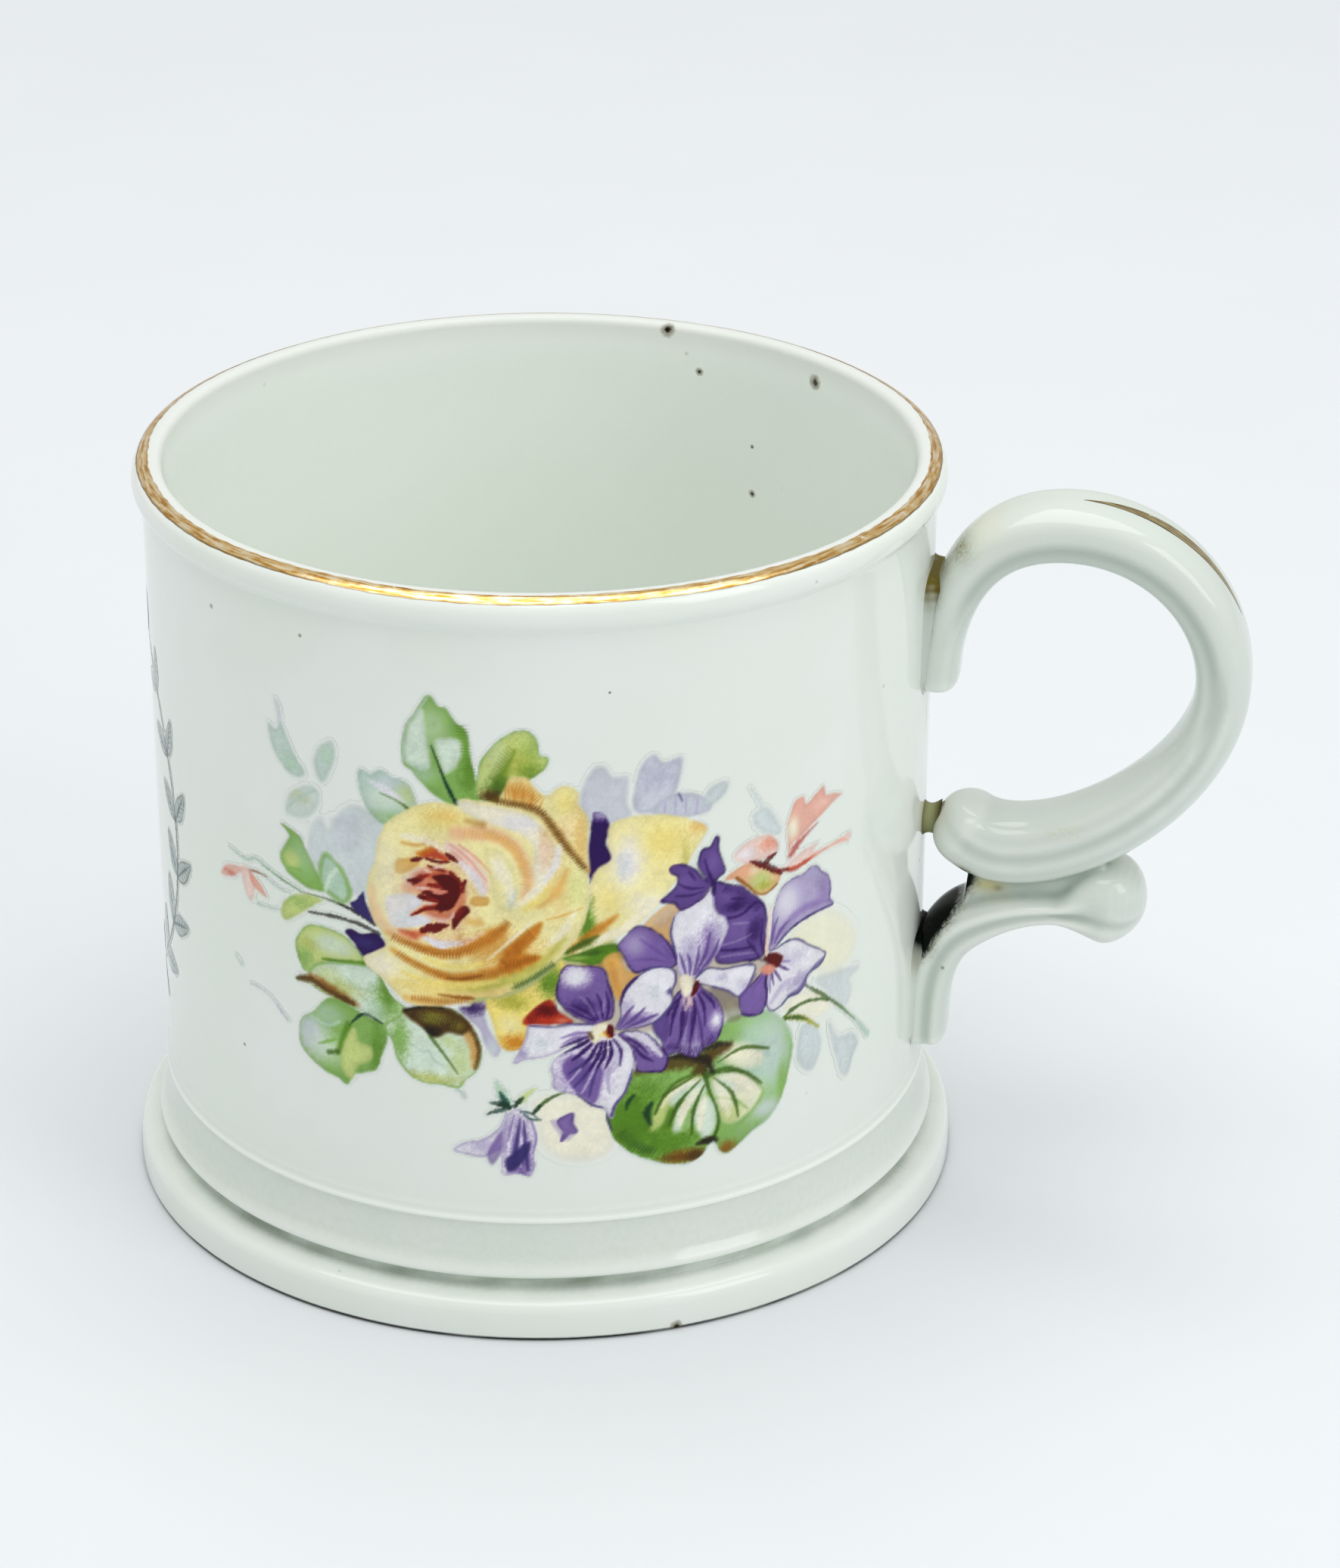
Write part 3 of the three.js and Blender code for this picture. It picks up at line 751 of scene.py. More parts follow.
def pad_outline(low, high, half_width, corner, count=96):
    """A rounded upright pad, as places across and up, with the direction out of its edge."""
    middle = (low + high) / 2
    half_height = (high - low) / 2
    angle = np.arange(count) / count * 2 * math.pi
    out = np.stack([np.cos(angle), np.sin(angle)], axis=1)
    out = np.vstack([out, out[:1]])
    edge = np.sign(out) * (half_width - corner, half_height - corner) + out * corner + (0, middle)
    along = run_along(edge)
    even = np.arange(count * 2) / (count * 2) * along[-1]
    return at_distance(even, along, edge), unit(at_distance(even, along, out))


def slip_bead(name, low, high, half_width, corner, heaped):
    """A bead of slip round a pad on the wall, hollow-sided, closed over the pad and against the wall.

    It is heaped up at its top by some times its own height, where it fills the notch over the pad.
    """
    edge, out = pad_outline(low, high, half_width, corner)
    rows = []
    for spread, proud in BEAD:
        across, up = (edge + out * spread).T
        reach = wall_radius(up) + proud * (1 + heaped * np.clip(out[:, 1], 0, 1) ** 2)
        rows.append(about_axis(reach, across / wall_radius(up), up))
    return make_piece(name, np.vstack(rows), plugged_rings(len(rows), len(edge))), np.vstack(rows)


upper_low, upper_high = (corner.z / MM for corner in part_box("upper_slip_joint"))
upper_bead, upper_points = slip_bead("upper_slip", upper_low + 0.3, upper_high - 0.6, 5.0, 2.4, 1.2)
DARK_OLIVE = srgb(72, 64, 18)
blotch = np.sin(upper_points @ (2.1, 1.3, 3.4)) * np.sin(upper_points @ (-3.2, 2.2, 2.1))
tea_stain = 1.4 * near(upper_points, (44.8, -2.0, upper_high + 0.4), (6.0, 14.0, 4.0))
dark_stain = 0.8 * near(upper_points, (45.0, -4.6, upper_high - 1.4), (2.4, 3.0, 1.8))
upper_layers = [
    (np.full(len(upper_points), 0.6), HANDLE_POOLED_GLAZE_AND_SHADE),
    (tea_stain * (1 + 0.2 * blotch), OLIVE),
    (dark_stain * (0.5 + 0.6 * blotch), DARK_OLIVE),
]
lower_low, lower_high = (corner.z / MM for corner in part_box("lower_slip_joint"))
lower_bead, lower_points = slip_bead("lower_slip", lower_low + 0.3, lower_high - 1.6, 4.9, 2.2, 1.0)
lower_layers = [
    (np.full(len(lower_points), 0.34), HANDLE_POOLED_GLAZE_AND_SHADE),
    (0.5 * near(lower_points, (43.2, -5.0, lower_high - 3.6), (1.2, 2.0, 2.4)), OLIVE),
    # painted shade and grime: near black at the top of the lower bead, in the crevice under the bracket
    (near(lower_points, (43.6, -1.0, lower_high - 1.0), (2.0, 9.0, 2.2)) * 1.6, SHADE_AND_GRIME),
]
dab_low, dab_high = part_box("scroll_slip_joint")
DAB_NECK = [(2.1, -0.1), (1.9, 0.1), (1.74, 0.35), (1.66, 0.7), (1.74, 1.1), (1.95, 1.5), (2.2, 1.9)]
DAB_SIDES = 40
dab_turn = np.arange(DAB_SIDES) / DAB_SIDES * 2 * math.pi
dab_middle = (dab_low.z + dab_high.z) / 2 / MM
dab_rows = []
for neck, proud in DAB_NECK:
    dab_across = np.cos(dab_turn) * neck
    dab_out = wall_radius(dab_middle) + proud - dab_across**2 / (2 * WALL_TOP_RADIUS)
    dab_rows.append(np.stack([dab_out, dab_across, dab_middle + np.sin(dab_turn) * neck], axis=1))
scroll_dab = make_piece("scroll_slip", np.vstack(dab_rows), plugged_rings(len(DAB_NECK), DAB_SIDES))
DAB_OLIVE = srgb(158, 160, 116)
DAB_WAIST = 0.75
dab_ends = np.abs(np.repeat([proud for _, proud in DAB_NECK], DAB_SIDES) - DAB_WAIST) / DAB_WAIST
dab_layers = [(np.ones(len(dab_ends)), DAB_OLIVE), (0.6 * dab_ends**2, DARK_OLIVE)]
slip_glaze = glazed("slip_glaze", layered=True)
for piece, layers, node in (
    (upper_bead, upper_layers, "upper_slip_joint"),
    (lower_bead, lower_layers, "lower_slip_joint"),
    (scroll_dab, dab_layers, "scroll_slip_joint"),
):
    stained = sum(share for share, colour in layers if colour != HANDLE_POOLED_GLAZE_AND_SHADE)
    paint_layer(piece, *composed(layers), stained)
    piece.data.materials.append(slip_glaze)
    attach(piece, "root")
    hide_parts(node)

# Gilding: liquid gold brushed on over the fired glaze, a band round the shoulder of the lip and a
# stroke down the back of the loop. It is thin enough to follow the glaze, and worn where lips and
# fingers have touched it.
GOLD_PALE = srgb(252, 236, 200)
GOLD = srgb(234, 196, 124)
GOLD_DEEP = srgb(196, 138, 56)
GOLD_SHADE = srgb(78, 56, 20)


def gilded(name, deep, middle, pale):
    """Gold over glaze, streaked along the brush, dark at its edge and rubbed off in spots."""
    material, tree, shader = new_material(name)
    stroke = put(tree, "ShaderNodeAttribute", attribute_name="stroke").outputs["Vector"]
    drawn_out = put(tree, "ShaderNodeMapping", {"Vector": stroke, "Scale": (0.3, 3.2, 0.0)}).outputs["Vector"]
    streak = put(tree, "ShaderNodeTexNoise", {"Vector": drawn_out, "Scale": 1.0, "Detail": 6.0})
    rubbed = noise(tree, 900.0, 5.0)
    grainy = ranged(tree, rubbed, 0.0, 1.0, 0.72, 1.28)
    mottled = reckoned(tree, "MULTIPLY", streak.outputs["Fac"], grainy)
    tone = ramp(tree, mottled, (0.36, deep), (0.48, middle), (0.62, pale))
    across = put(tree, "ShaderNodeSeparateXYZ", {"Vector": stroke})
    edge = ranged(tree, across.outputs["Z"], 0.04, 0.2, 0.6, 0.0)
    kept = ranged(tree, rubbed, 0.68, 0.74, 1.0, 0.4)
    colour = blended(tree, kept, GLAZE_WHITE, blended(tree, edge, tone, GOLD_SHADE))
    dents = put(tree, "ShaderNodeBump", {"Height": rubbed, "Strength": 0.1, "Distance": 0.0002})
    tree.links.new(colour, shader.inputs["Base Color"])
    tree.links.new(kept, shader.inputs["Metallic"])
    tree.links.new(dents.outputs["Normal"], shader.inputs["Normal"])
    shader.inputs["Roughness"].default_value = 0.2
    return material


def lay_stroke(piece, gold, along, across, share):
    """Stores where each point lies in a brush stroke: along and across it, and its share across."""
    stroke = piece.data.attributes.new("stroke", "FLOAT_VECTOR", "POINT")
    values = np.stack([np.ravel(along), np.ravel(across), np.ravel(share)], axis=1)
    stroke.data.foreach_set("vector", values.astype(np.float32).ravel())
    piece.data.materials.append(gold)
    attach(piece, "root")


GOLD_PROUD = 0.04
BAND_TURNS = 720
BAND_ROWS = 7
lip = soften(turned_outline((WALL_FOOT_RADIUS, WALL_BOTTOM), WALL_AND_LIP + INSIDE[:1]), GLAZE_SOFTENING)
lip_along = run_along(lip)
crest = int(np.argmax(lip[:, 1]))


def lip_distance(reach):
    """How far along the outline the outside of the lip comes in to a radius."""
    outside = np.where((lip[:crest, 1] > 83) & (lip[:crest, 0] <= reach))[0]
    return lip_along[outside[0]]


band_angles = np.arange(BAND_TURNS) / BAND_TURNS * 2 * math.pi
brush = np.sin(band_angles * 23 + 1.1) + np.sin(band_angles * 61) + np.sin(band_angles * 117 + 0.4)
thinned = 1 - 0.5 * np.clip(np.sin(band_angles - math.radians(11)), 0, 1) ** 0.7
low_edge = lip_distance(43.64) + 0.04 * np.sin(band_angles * 9) + 0.015 * brush
high_edge = low_edge + (lip_distance(42.82) - lip_distance(43.9)) * thinned
high_edge = high_edge + 0.05 * np.sin(band_angles * 7 + 2) - 0.02 * brush[::-1]
band_share = np.linspace(0, 1, BAND_ROWS)[:, None]
band_at = low_edge + (high_edge - low_edge) * band_share
band_radius, band_height = np.moveaxis(at_distance(band_at, lip_along, lip), -1, 0)
band_slope = heading_at(band_at, lip_along, lip)
band_radius = band_radius + hand_wobble(band_angles, band_height) + band_slope[..., 1] * GOLD_PROUD
band_height = band_height - band_slope[..., 0] * GOLD_PROUD
band_points = about_axis(band_radius, band_angles, band_height)
rim_gilding = make_piece("rim_gilding", band_points, ring_faces(BAND_ROWS, BAND_TURNS))
band_along = np.broadcast_to(np.abs(band_angles - math.pi) * WALL_TOP_RADIUS, band_at.shape)
rim_gold = gilded("rim_gold", GOLD_DEEP, GOLD, GOLD_PALE)
lay_stroke(rim_gilding, rim_gold, band_along, band_at, np.broadcast_to(band_share, band_at.shape))

WORN_GOLD_PALE = srgb(204, 186, 132)
WORN_GOLD = srgb(166, 144, 84)
WORN_GOLD_DEEP = srgb(124, 104, 52)
CLEAR_OF_LOOP = 9
STROKE_START, STROKE_STOP = 28.0, 47.0
STROKE_WIDTHS = [0.06, 0.9, 1.5, 1.8, 1.7, 1.35, 0.8, 0.08]
STROKE_SIDE = [-0.7, -0.3, 0.0, 0.1]
STROKE_ROWS = 90
STROKE_COLUMNS = 9
stroke_at = np.linspace(STROKE_START, STROKE_STOP, STROKE_ROWS)
stroke_share = np.linspace(0, 1, STROKE_COLUMNS)
along_share = (stroke_at - STROKE_START) / (STROKE_STOP - STROKE_START)
stroke_width = np.interp(along_share, np.linspace(0, 1, len(STROKE_WIDTHS)), STROKE_WIDTHS)
stroke_side = np.interp(along_share, np.linspace(0, 1, len(STROKE_SIDE)), STROKE_SIDE)
stroke_y = stroke_side[:, None] + stroke_width[:, None] * (stroke_share - 0.5)
loop_centre = at_distance(stroke_at, loop_path[1], loop_path[0])
loop_heading = unit(np.gradient(loop_centre, axis=0))
handle_skin = BVHTree.FromPolygons(handle_points.tolist(), handle_faces)
stroke_points = []
for (x, z), (ahead_x, ahead_z), row in zip(loop_centre, loop_heading, stroke_y):
    for y in row:
        above = Vector((x - CLEAR_OF_LOOP * ahead_z, y, z + CLEAR_OF_LOOP * ahead_x))
        place, normal, _, _ = handle_skin.ray_cast(above, Vector((ahead_z, 0, -ahead_x)))
        stroke_points.append(place + normal * GOLD_PROUD)
stroke_faces = ring_faces(STROKE_ROWS, STROKE_COLUMNS, closed=False)
loop_gilding = make_piece("loop_gilding", stroke_points, stroke_faces)
lay_stroke(
    loop_gilding,
    gilded("loop_gold", WORN_GOLD_DEEP, WORN_GOLD, WORN_GOLD_PALE),
    np.repeat(stroke_at, STROKE_COLUMNS),
    stroke_y,
    np.tile(1 - np.abs(2 * stroke_share - 1), STROKE_ROWS),
)

# Flower spray: a printed transfer of a yellow rose with violets, buds and leaves, fired on over the glaze.
# The sheet is laid flat here, in millimetres round the wall and up it, and each petal is a wash of ink
# with dabs and lines over it. The skin that carries it hugs the wall and stops where the ink stops.
SHEET_GRAIN = 0.17
sheet_across = np.arange(-42, 43, SHEET_GRAIN)
sheet_up = np.arange(17, 75, SHEET_GRAIN)
sheet_ink = np.zeros((len(sheet_up), len(sheet_across), 3))
sheet_cover = np.zeros((len(sheet_up), len(sheet_across)))

WHITE = (233, 231, 238)
CREAM = (243, 237, 214)
STRAW = (241, 232, 174)
BUTTER = (241, 222, 132)
OCHRE = (226, 180, 100)
AMBER = (204, 126, 28)
UMBER = (146, 84, 14)
BROWN = (88, 62, 18)
NEAR_BLACK = (36, 28, 16)
BLUSH = (240, 214, 204)
PEACH = (234, 182, 146)
CORAL = (232, 156, 132)
SCARLET = (188, 58, 28)
CRIMSON = (98, 4, 6)
LIME = (200, 214, 138)
OLIVE_INK = (172, 174, 62)
LEAF = (140, 181, 98)
GRASS = (92, 138, 32)
MOSS = (70, 104, 30)
PINE = (24, 62, 40)
MINT = (186, 212, 190)
PALE_GREEN = (216, 231, 214)
MIST = (206, 215, 217)
SEA_MIST = (190, 210, 199)
LILAC_MIST = (202, 205, 216)
LAVENDER = (180, 170, 202)
VIOLET = (130, 104, 168)
PURPLE = (106, 80, 148)
PLUM = (50, 18, 94)
INDIGO = (62, 52, 116)
TEAL = (34, 84, 74)


def mottle(size, seed):
    """A seeded drift of about minus one to one over the sheet, in patches of a size in millimetres."""
    count_up, count_across = (int(np.ptp(axis) / size) + 3 for axis in (sheet_up, sheet_across))
    rough = np.random.default_rng(seed).uniform(-1, 1, (count_up, count_across))
    at_up, at_across = ((axis - axis[0]) / size for axis in (sheet_up, sheet_across))
    rows, columns = at_up.astype(int), at_across.astype(int)
    ease_up, ease_across = (3 * f**2 - 2 * f**3 for f in (at_up - rows, at_across - columns))
    ease_up = ease_up[:, None]
    low = rough[rows][:, columns] * (1 - ease_across) + rough[rows][:, columns + 1] * ease_across
    high = rough[rows + 1][:, columns] * (1 - ease_across) + rough[rows + 1][:, columns + 1] * ease_across
    return low * (1 - ease_up) + high * ease_up


brush_shake = mottle(0.55, 3) * 0.6 + mottle(1.7, 4) * 0.6
pooling = mottle(0.4, 5) * 0.4 + mottle(1.1, 6) * 0.5 + mottle(3.0, 7) * 0.5
stipple = np.random.default_rng(8).uniform(-1, 1, sheet_cover.shape)


def smooth_line(flat, closed, steps=7):
    """A smooth run of points through the given ones, which are across and up in turn."""
    knots = np.array(flat, float).reshape(-1, 2)
    count = len(knots)
    share = (np.arange(steps) / steps)[:, None]
    run = []
    for i in range(count if closed else count - 1):
        places = np.arange(i - 1, i + 3)
        before, here, there, after = knots[places % count if closed else np.clip(places, 0, count - 1)]
        bend = 2 * before - 5 * here + 4 * there - after
        lean = 3 * here - 3 * there + after - before
        run.append(here + 0.5 * ((there - before) * share + bend * share**2 + lean * share**3))
    if not closed:
        run.append(knots[-1:])
    return np.vstack(run)


def sheet_window(points, margin):
    """The part of the sheet round some points, as slices and as the places in it."""
    low = points.min(axis=0) - margin
    high = points.max(axis=0) + margin
    columns = slice(*np.searchsorted(sheet_across, [low[0], high[0]]))
    rows = slice(*np.searchsorted(sheet_up, [low[1], high[1]]))
    places = np.stack(np.meshgrid(sheet_across[columns], sheet_up[rows]), axis=-1)
    return (rows, columns), places


def nearest_on_line(places, line):
    """How far each place is from a line, and how far along the line its nearest point lies, 0 to 1."""
    away = np.full(places.shape[:2], np.inf)
    along = np.zeros(places.shape[:2])
    for i, (start, end) in enumerate(zip(line, line[1:])):
        step = end - start
        share = np.clip(((places - start) @ step) / max(step @ step, 1e-12), 0, 1)
        distance = np.linalg.norm(places - start - share[..., None] * step, axis=-1)
        closer = distance < away
        away = np.where(closer, distance, away)
        along = np.where(closer, (i + share) / (len(line) - 1), along)
    return away, along


POOLING_TONE = 0.05
STIPPLE_TONE = 0.025


def lay_ink(window, ink, cover):
    """Ink over what is already on the sheet."""
    old = sheet_cover[window]
    total = old + cover - old * cover
    kept = (old * (1 - cover))[..., None] * sheet_ink[window]
    grain = 1 + POOLING_TONE * pooling[window] + STIPPLE_TONE * stipple[window]
    laid = np.array(ink) * grain[..., None]
    sheet_ink[window] = (kept + cover[..., None] * laid) / np.maximum(total, 1e-6)[..., None]
    sheet_cover[window] = total


EDGE_SHAKE = 0.09
POOLED_WIDTH = 0.45
POOLED_TONE = 0.8
POOLED_COVER = 0.3
RIM_COVER = 0.7
DAB_EDGE = 1.35
DAB_POOLING = 0.22
DAB_STIPPLE = 0.16
LINE_SHAKE = 0.3
LINE_STIPPLE = 0.25
HATCH_SLANT = 0.35
HATCH_WIDTHS = (0.08, 0.24, 0.06)


def wash(ink, flat, soft=0.12, cover=1.0, rim=None, rim_width=0.16):
    """A flat wash of ink inside a smooth outline, with an inked rim if it has one. Gives its shape."""
    outline = smooth_line(flat, closed=True)
    closed = np.vstack([outline, outline[:1]])
    window, places = sheet_window(outline, soft * 2 + 0.3)
    inside = np.zeros(places.shape[:2], bool)
    for start, end in zip(closed, closed[1:]):
        if start[1] == end[1]:
            continue
        level = (places[..., 1] > min(start[1], end[1])) & (places[..., 1] <= max(start[1], end[1]))
        crossing = start[0] + (places[..., 1] - start[1]) * (end[0] - start[0]) / (end[1] - start[1])
        inside ^= level & (places[..., 0] < crossing)
    away, _ = nearest_on_line(places, closed)
    depth = np.where(inside, away, -away) + EDGE_SHAKE * brush_shake[window]
    shape = np.clip(depth / (2 * soft) + 0.5, 0, 1)
    lay_ink(window, ink, shape * cover)
    pooled = bell(depth, 0, POOLED_WIDTH) * shape * cover
    lay_ink(window, np.array(ink) * POOLED_TONE, pooled * POOLED_COVER)
    if rim is not None:
        edge = np.clip(1.3 - away / rim_width + 0.5 * brush_shake[window], 0, 1)
        lay_ink(window, rim, edge * RIM_COVER)
    return window, places, shape


def dab(shape, *touches):
    """Soft touches within a washed shape: the ink, its place across and up, its reach in both, its cover."""
    window, places, inside = shape
    for ink, across, up, wide, high, cover in touches:
        away = np.linalg.norm((places - (across, up)) / (wide, high), axis=-1)
        away = away + DAB_POOLING * pooling[window] + DAB_STIPPLE * stipple[window]
        fading = np.clip(DAB_EDGE - away, 0, 1) ** 1.2 * np.minimum(inside * 1.4, 1)
        lay_ink(window, ink, fading * cover)


def line(ink, flat, width, cover=0.9, soft=0.1):
    """A brushed line; the width is one number or a few along it."""
    path = smooth_line(flat, closed=False)
    widths = np.atleast_1d(np.array(width, float))
    window, places = sheet_window(path, widths.max() + soft * 2)
    away, along = nearest_on_line(places, path)
    half = np.interp(along, np.linspace(0, 1, len(widths)), widths) / 2
    half = half * (1 + LINE_SHAKE * brush_shake[window] + LINE_STIPPLE * stipple[window])
    lay_ink(window, ink, np.clip((half - away) / (2 * soft) + 0.5, 0, 1) * cover)


def fan(ink, lines, width, cover=0.9):
    """Several lines of one ink, thin at both ends."""
    for flat in lines:
        line(ink, flat, (width * 0.6, width, width * 0.3), cover)


def hatch(ink, flat, reach, gap=0.32, cover=0.55):
    """Short strokes side by side across a line, a gap apart."""
    path = smooth_line(flat, closed=False)
    along = run_along(path)
    for at in np.arange(gap, along[-1], gap):
        middle, ahead = at_distance(np.array([at, at + gap / 2]), along, path)
        across = (ahead - middle)[::-1] * (-1, 1) / max(np.linalg.norm(ahead - middle), 1e-6)
        slant = (across + HATCH_SLANT * (ahead - middle) / gap) * reach / 2
        line(ink, [middle - slant, middle, middle + slant], HATCH_WIDTHS, cover, 0.07)


# Pale shadow leaves and washes behind the flowers.
wash(OLIVE_INK, [-8, 38.6, -3, 38.4, 1, 39, 4, 42, 8.4, 44, 6, 47, 2, 46, -2, 43, -6, 41], 0.4, 0.8)
wash(UMBER, [
    2, 37, 8, 35, 13, 35, 20, 35.5, 25, 36.5, 25, 42, 23, 47, 18, 50, 13, 48, 8.4, 45.6, 3, 42.6,
], 0.4, 0.5)
wash(LILAC_MIST, [
    4.2, 60, 3.8, 63, 5, 65.8, 6.2, 66.2, 7.2, 64.9, 8.7, 64.7, 8.6, 62, 9, 60.4, 7, 59.6,
], 0.35, 0.85)
back_leaf = wash(LILAC_MIST, [
    9.4, 61, 9.5, 63.5, 10.2, 66, 11.5, 67, 12.6, 66, 14.5, 66.2, 14.2, 63.5, 13.4, 61.8, 11.4, 60.4,
], 0.25)
dab(back_leaf, (LAVENDER, 12, 64.4, 2.2, 1.6, 0.25))
wash(LILAC_MIST, [11.3, 60.6, 13, 62, 14.8, 62.2, 16.8, 61.5, 18, 60, 16.5, 59.3, 13, 59.6], 0.2)
fan(LAVENDER, [
    [12.6, 60, 12.8, 61.6], [13.8, 60, 13.9, 62], [15, 59.8, 15, 61.9], [16.2, 59.6, 16.3, 61.4],
], 0.25, 0.6)
line(INDIGO, [14.2, 62.2, 14.6, 61.3], 0.2, 0.6)
wash(MIST, [16.8, 60.4, 17.5, 62, 19, 62.7, 19.9, 62.4, 19.4, 61.2, 18.2, 60.3], 0.25, 0.9)
wash(MIST, [
    -26.2, 53, -25.8, 56, -24.5, 57.6, -23.6, 56.5, -22, 58.8, -20, 60, -17, 58.6, -17.4, 55, -18.6, 50,
    -22, 50, -25, 51.4,
], 0.5, 0.8)
wash(LILAC_MIST, [-23.4, 57.6, -21.6, 58.4, -20, 58.6, -20.4, 55, -22.4, 54.6], 0.6, 0.35)
ash_leaf = wash(SEA_MIST, [
    -29.2, 57.2, -28.6, 59.2, -27, 60.6, -25.4, 61, -24.6, 60.2, -25, 58.6, -26.4, 57.2, -28, 56.9,
], 0.3, 0.6)
dab(ash_leaf, (OLIVE_INK, -27.2, 59.4, 1.6, 0.8, 0.2))
line(SEA_MIST, [-29, 57.4, -27.4, 59.2, -25.2, 60.6], 0.3, 0.8)
left_leaf = wash(SEA_MIST, [
    -31.2, 66.7, -30.2, 66.4, -29.4, 67.3, -28.6, 65.8, -27.6, 64, -26.4, 62.2, -27.8, 61.6, -29.6, 62.6,
    -30.8, 64.4,
], 0.25, 0.8)
dab(left_leaf, (MINT, -28.4, 63, 1.4, 1.2, 0.8))
wash(MIST, [-30.2, 69.9, -29.4, 69, -29.3, 67.2, -29.8, 67, -30, 68.4], 0.2, 0.6)
small_leaf = wash(SEA_MIST, [
    -25.2, 64.2, -24.4, 65.8, -22.8, 66.8, -22.6, 65, -23.4, 62.8, -24.3, 61.8, -25, 62.6,
], 0.3, 0.8)
dab(small_leaf, (MINT, -23.6, 65, 0.9, 1.4, 0.7))
wash(MIST, [29.4, 27.5, 30, 30.5, 31.5, 30.6, 32.8, 29, 33, 26.8, 31.8, 24.8, 30.3, 25.5], 0.35, 0.85)
wash(MIST, [
    34.4, 29.5, 36, 27.2, 38.6, 26.6, 39.8, 25, 38.8, 23.6, 38, 21.8, 36.8, 22.2, 35.8, 24.5, 35, 27,
], 0.35, 0.85)
wash(MIST, [
    32, 35.7, 35, 35.6, 38.6, 34.8, 39.4, 34.2, 37.8, 33.6, 38.2, 32.2, 37.3, 30.6, 35.2, 31.8, 33.6, 33.8,
], 0.4, 0.7)
wash(MIST, [22.9, 58, 24.6, 58.4, 25.8, 56.8, 26.6, 55, 25.2, 55.1, 23.4, 56.3], 0.3, 0.8)
line(MIST, [22.5, 61.2, 23.2, 60, 24, 58.6], (0.2, 0.6), 0.7)
wash(STRAW, [28.4, 42.6, 33, 43.6, 37, 41, 38.6, 38, 37, 36, 33.5, 36.2, 30, 39], 1, 0.4)
wash(CREAM, [-1, 27.5, 1.5, 28, 4, 28.2, 6.4, 26, 7.4, 23.5, 6.4, 20.8, 3, 20.2, 0, 21.6, -1, 25], 0.8, 0.75)
wash(CREAM, [27.5, 33.8, 30, 34.9, 33, 33.7, 34.5, 31.6, 32, 31, 29, 32.4], 0.5, 0.7)

# Stems and the faint sprig on the left.
line(MOSS, [30.6, 35.4, 33, 33.6, 36.5, 30.6], (0.4, 0.5, 0.45), 0.85)
line(SEA_MIST, [36.3, 30.8, 39.5, 27.6, 41.8, 25], (0.5, 0.5, 0.7), 0.95)
line(MOSS, [36.3, 30.8, 39, 28.1], (0.4, 0.15), 0.6)
line(MOSS, [27.3, 32.3, 28.5, 33.2, 30.5, 33.5, 32.6, 33.1, 34, 32.5], (0.6, 0.45, 0.35))
line(OLIVE_INK, [27.6, 32.5, 29.5, 32, 31, 31.1, 32.6, 29.8], (0.8, 0.7, 0.4))
line(MOSS, [27.6, 32.5, 29.5, 32, 31, 31.2], (0.6, 0.5, 0.1), 0.85)
line(SEA_MIST, [
    -38.4, 50, -35.6, 49.5, -34, 50.1, -32, 49.6, -30, 48.9, -27.6, 48.3,
], (0.3, 0.45, 0.35), 0.95)
line(MOSS, [-33, 49.7, -30, 48.9, -27.6, 48.3], (0.1, 0.25, 0.1), 0.45)
line(MOSS, [-27.6, 48.2, -24.6, 48.3, -22, 48], (0.15, 0.3, 0.4), 0.8)
line(NEAR_BLACK, [-22.6, 48.1, -20.6, 47.6, -18.4, 46.6], (0.3, 0.5, 0.5), 0.95)
line(SEA_MIST, [-32.6, 48.5, -30.6, 47.8, -29, 47.6], 0.3)
line(UMBER, [-35.2, 48.3, -33.8, 48.6, -32.4, 48.5], (0.2, 0.35, 0.2), 0.8)
line(SEA_MIST, [-34, 44.8, -31.6, 45, -30, 45.4], 0.25)
line(NEAR_BLACK, [-26.5, 46.1, -24, 46.4, -20.5, 46.3, -18, 45.6], (0.35, 0.5, 0.6))
line(MIST, [-35.6, 34.6, -33.6, 34.5, -32, 33.8, -30, 32.1], (0.3, 0.25, 0.4))
line(LAVENDER, [-31.6, 33.4, -30.2, 32.2], 0.2, 0.35)
line(SEA_MIST, [-38, 37, -37.2, 36.4], 0.5, 0.6)

# Leaves round the rose.
top_leaf = wash(LEAF, [
    -8.6, 61.4, -11.2, 62.6, -13, 64.2, -13.6, 65, -14.6, 65.8, -14.7, 67.6, -14.3, 70, -13, 72.1,
    -11.8, 73.8, -10.8, 72.7, -9.9, 72.4, -9, 71, -7.8, 70, -7.6, 67.4, -7, 64.6, -6.6, 62.4,
], rim=LEAF)
wash(PALE_GREEN, [
    -14.4, 66, -14.4, 68, -14, 70.2, -12.5, 72.2, -12.3, 70, -12, 68, -11.7, 66, -12.6, 65.3,
], 0.25)
dab(
    top_leaf,
    (MINT, -12.6, 64.8, 1.8, 1.2, 0.6), (GRASS, -8.6, 70.6, 1.5, 1.4, 0.3),
    (PALE_GREEN, -11.6, 70.4, 2.2, 2.4, 0.5),
)
wash(PALE_GREEN, [-11.2, 68.2, -10.8, 69, -8.5, 69, -8.5, 67, -9.6, 65.4, -10.4, 65.4], 0.25)
dab(top_leaf, (GRASS, -7.6, 65, 1.3, 2.6, 0.5))
line(PINE, [-11.6, 68.2, -10.8, 66, -10, 63.8, -9, 61.8], (0.12, 0.3, 0.5), 0.95)
line(SEA_MIST, [-14.6, 66, -14.4, 69.8, -12.9, 72, -11.8, 73.7], 0.25, 0.8)
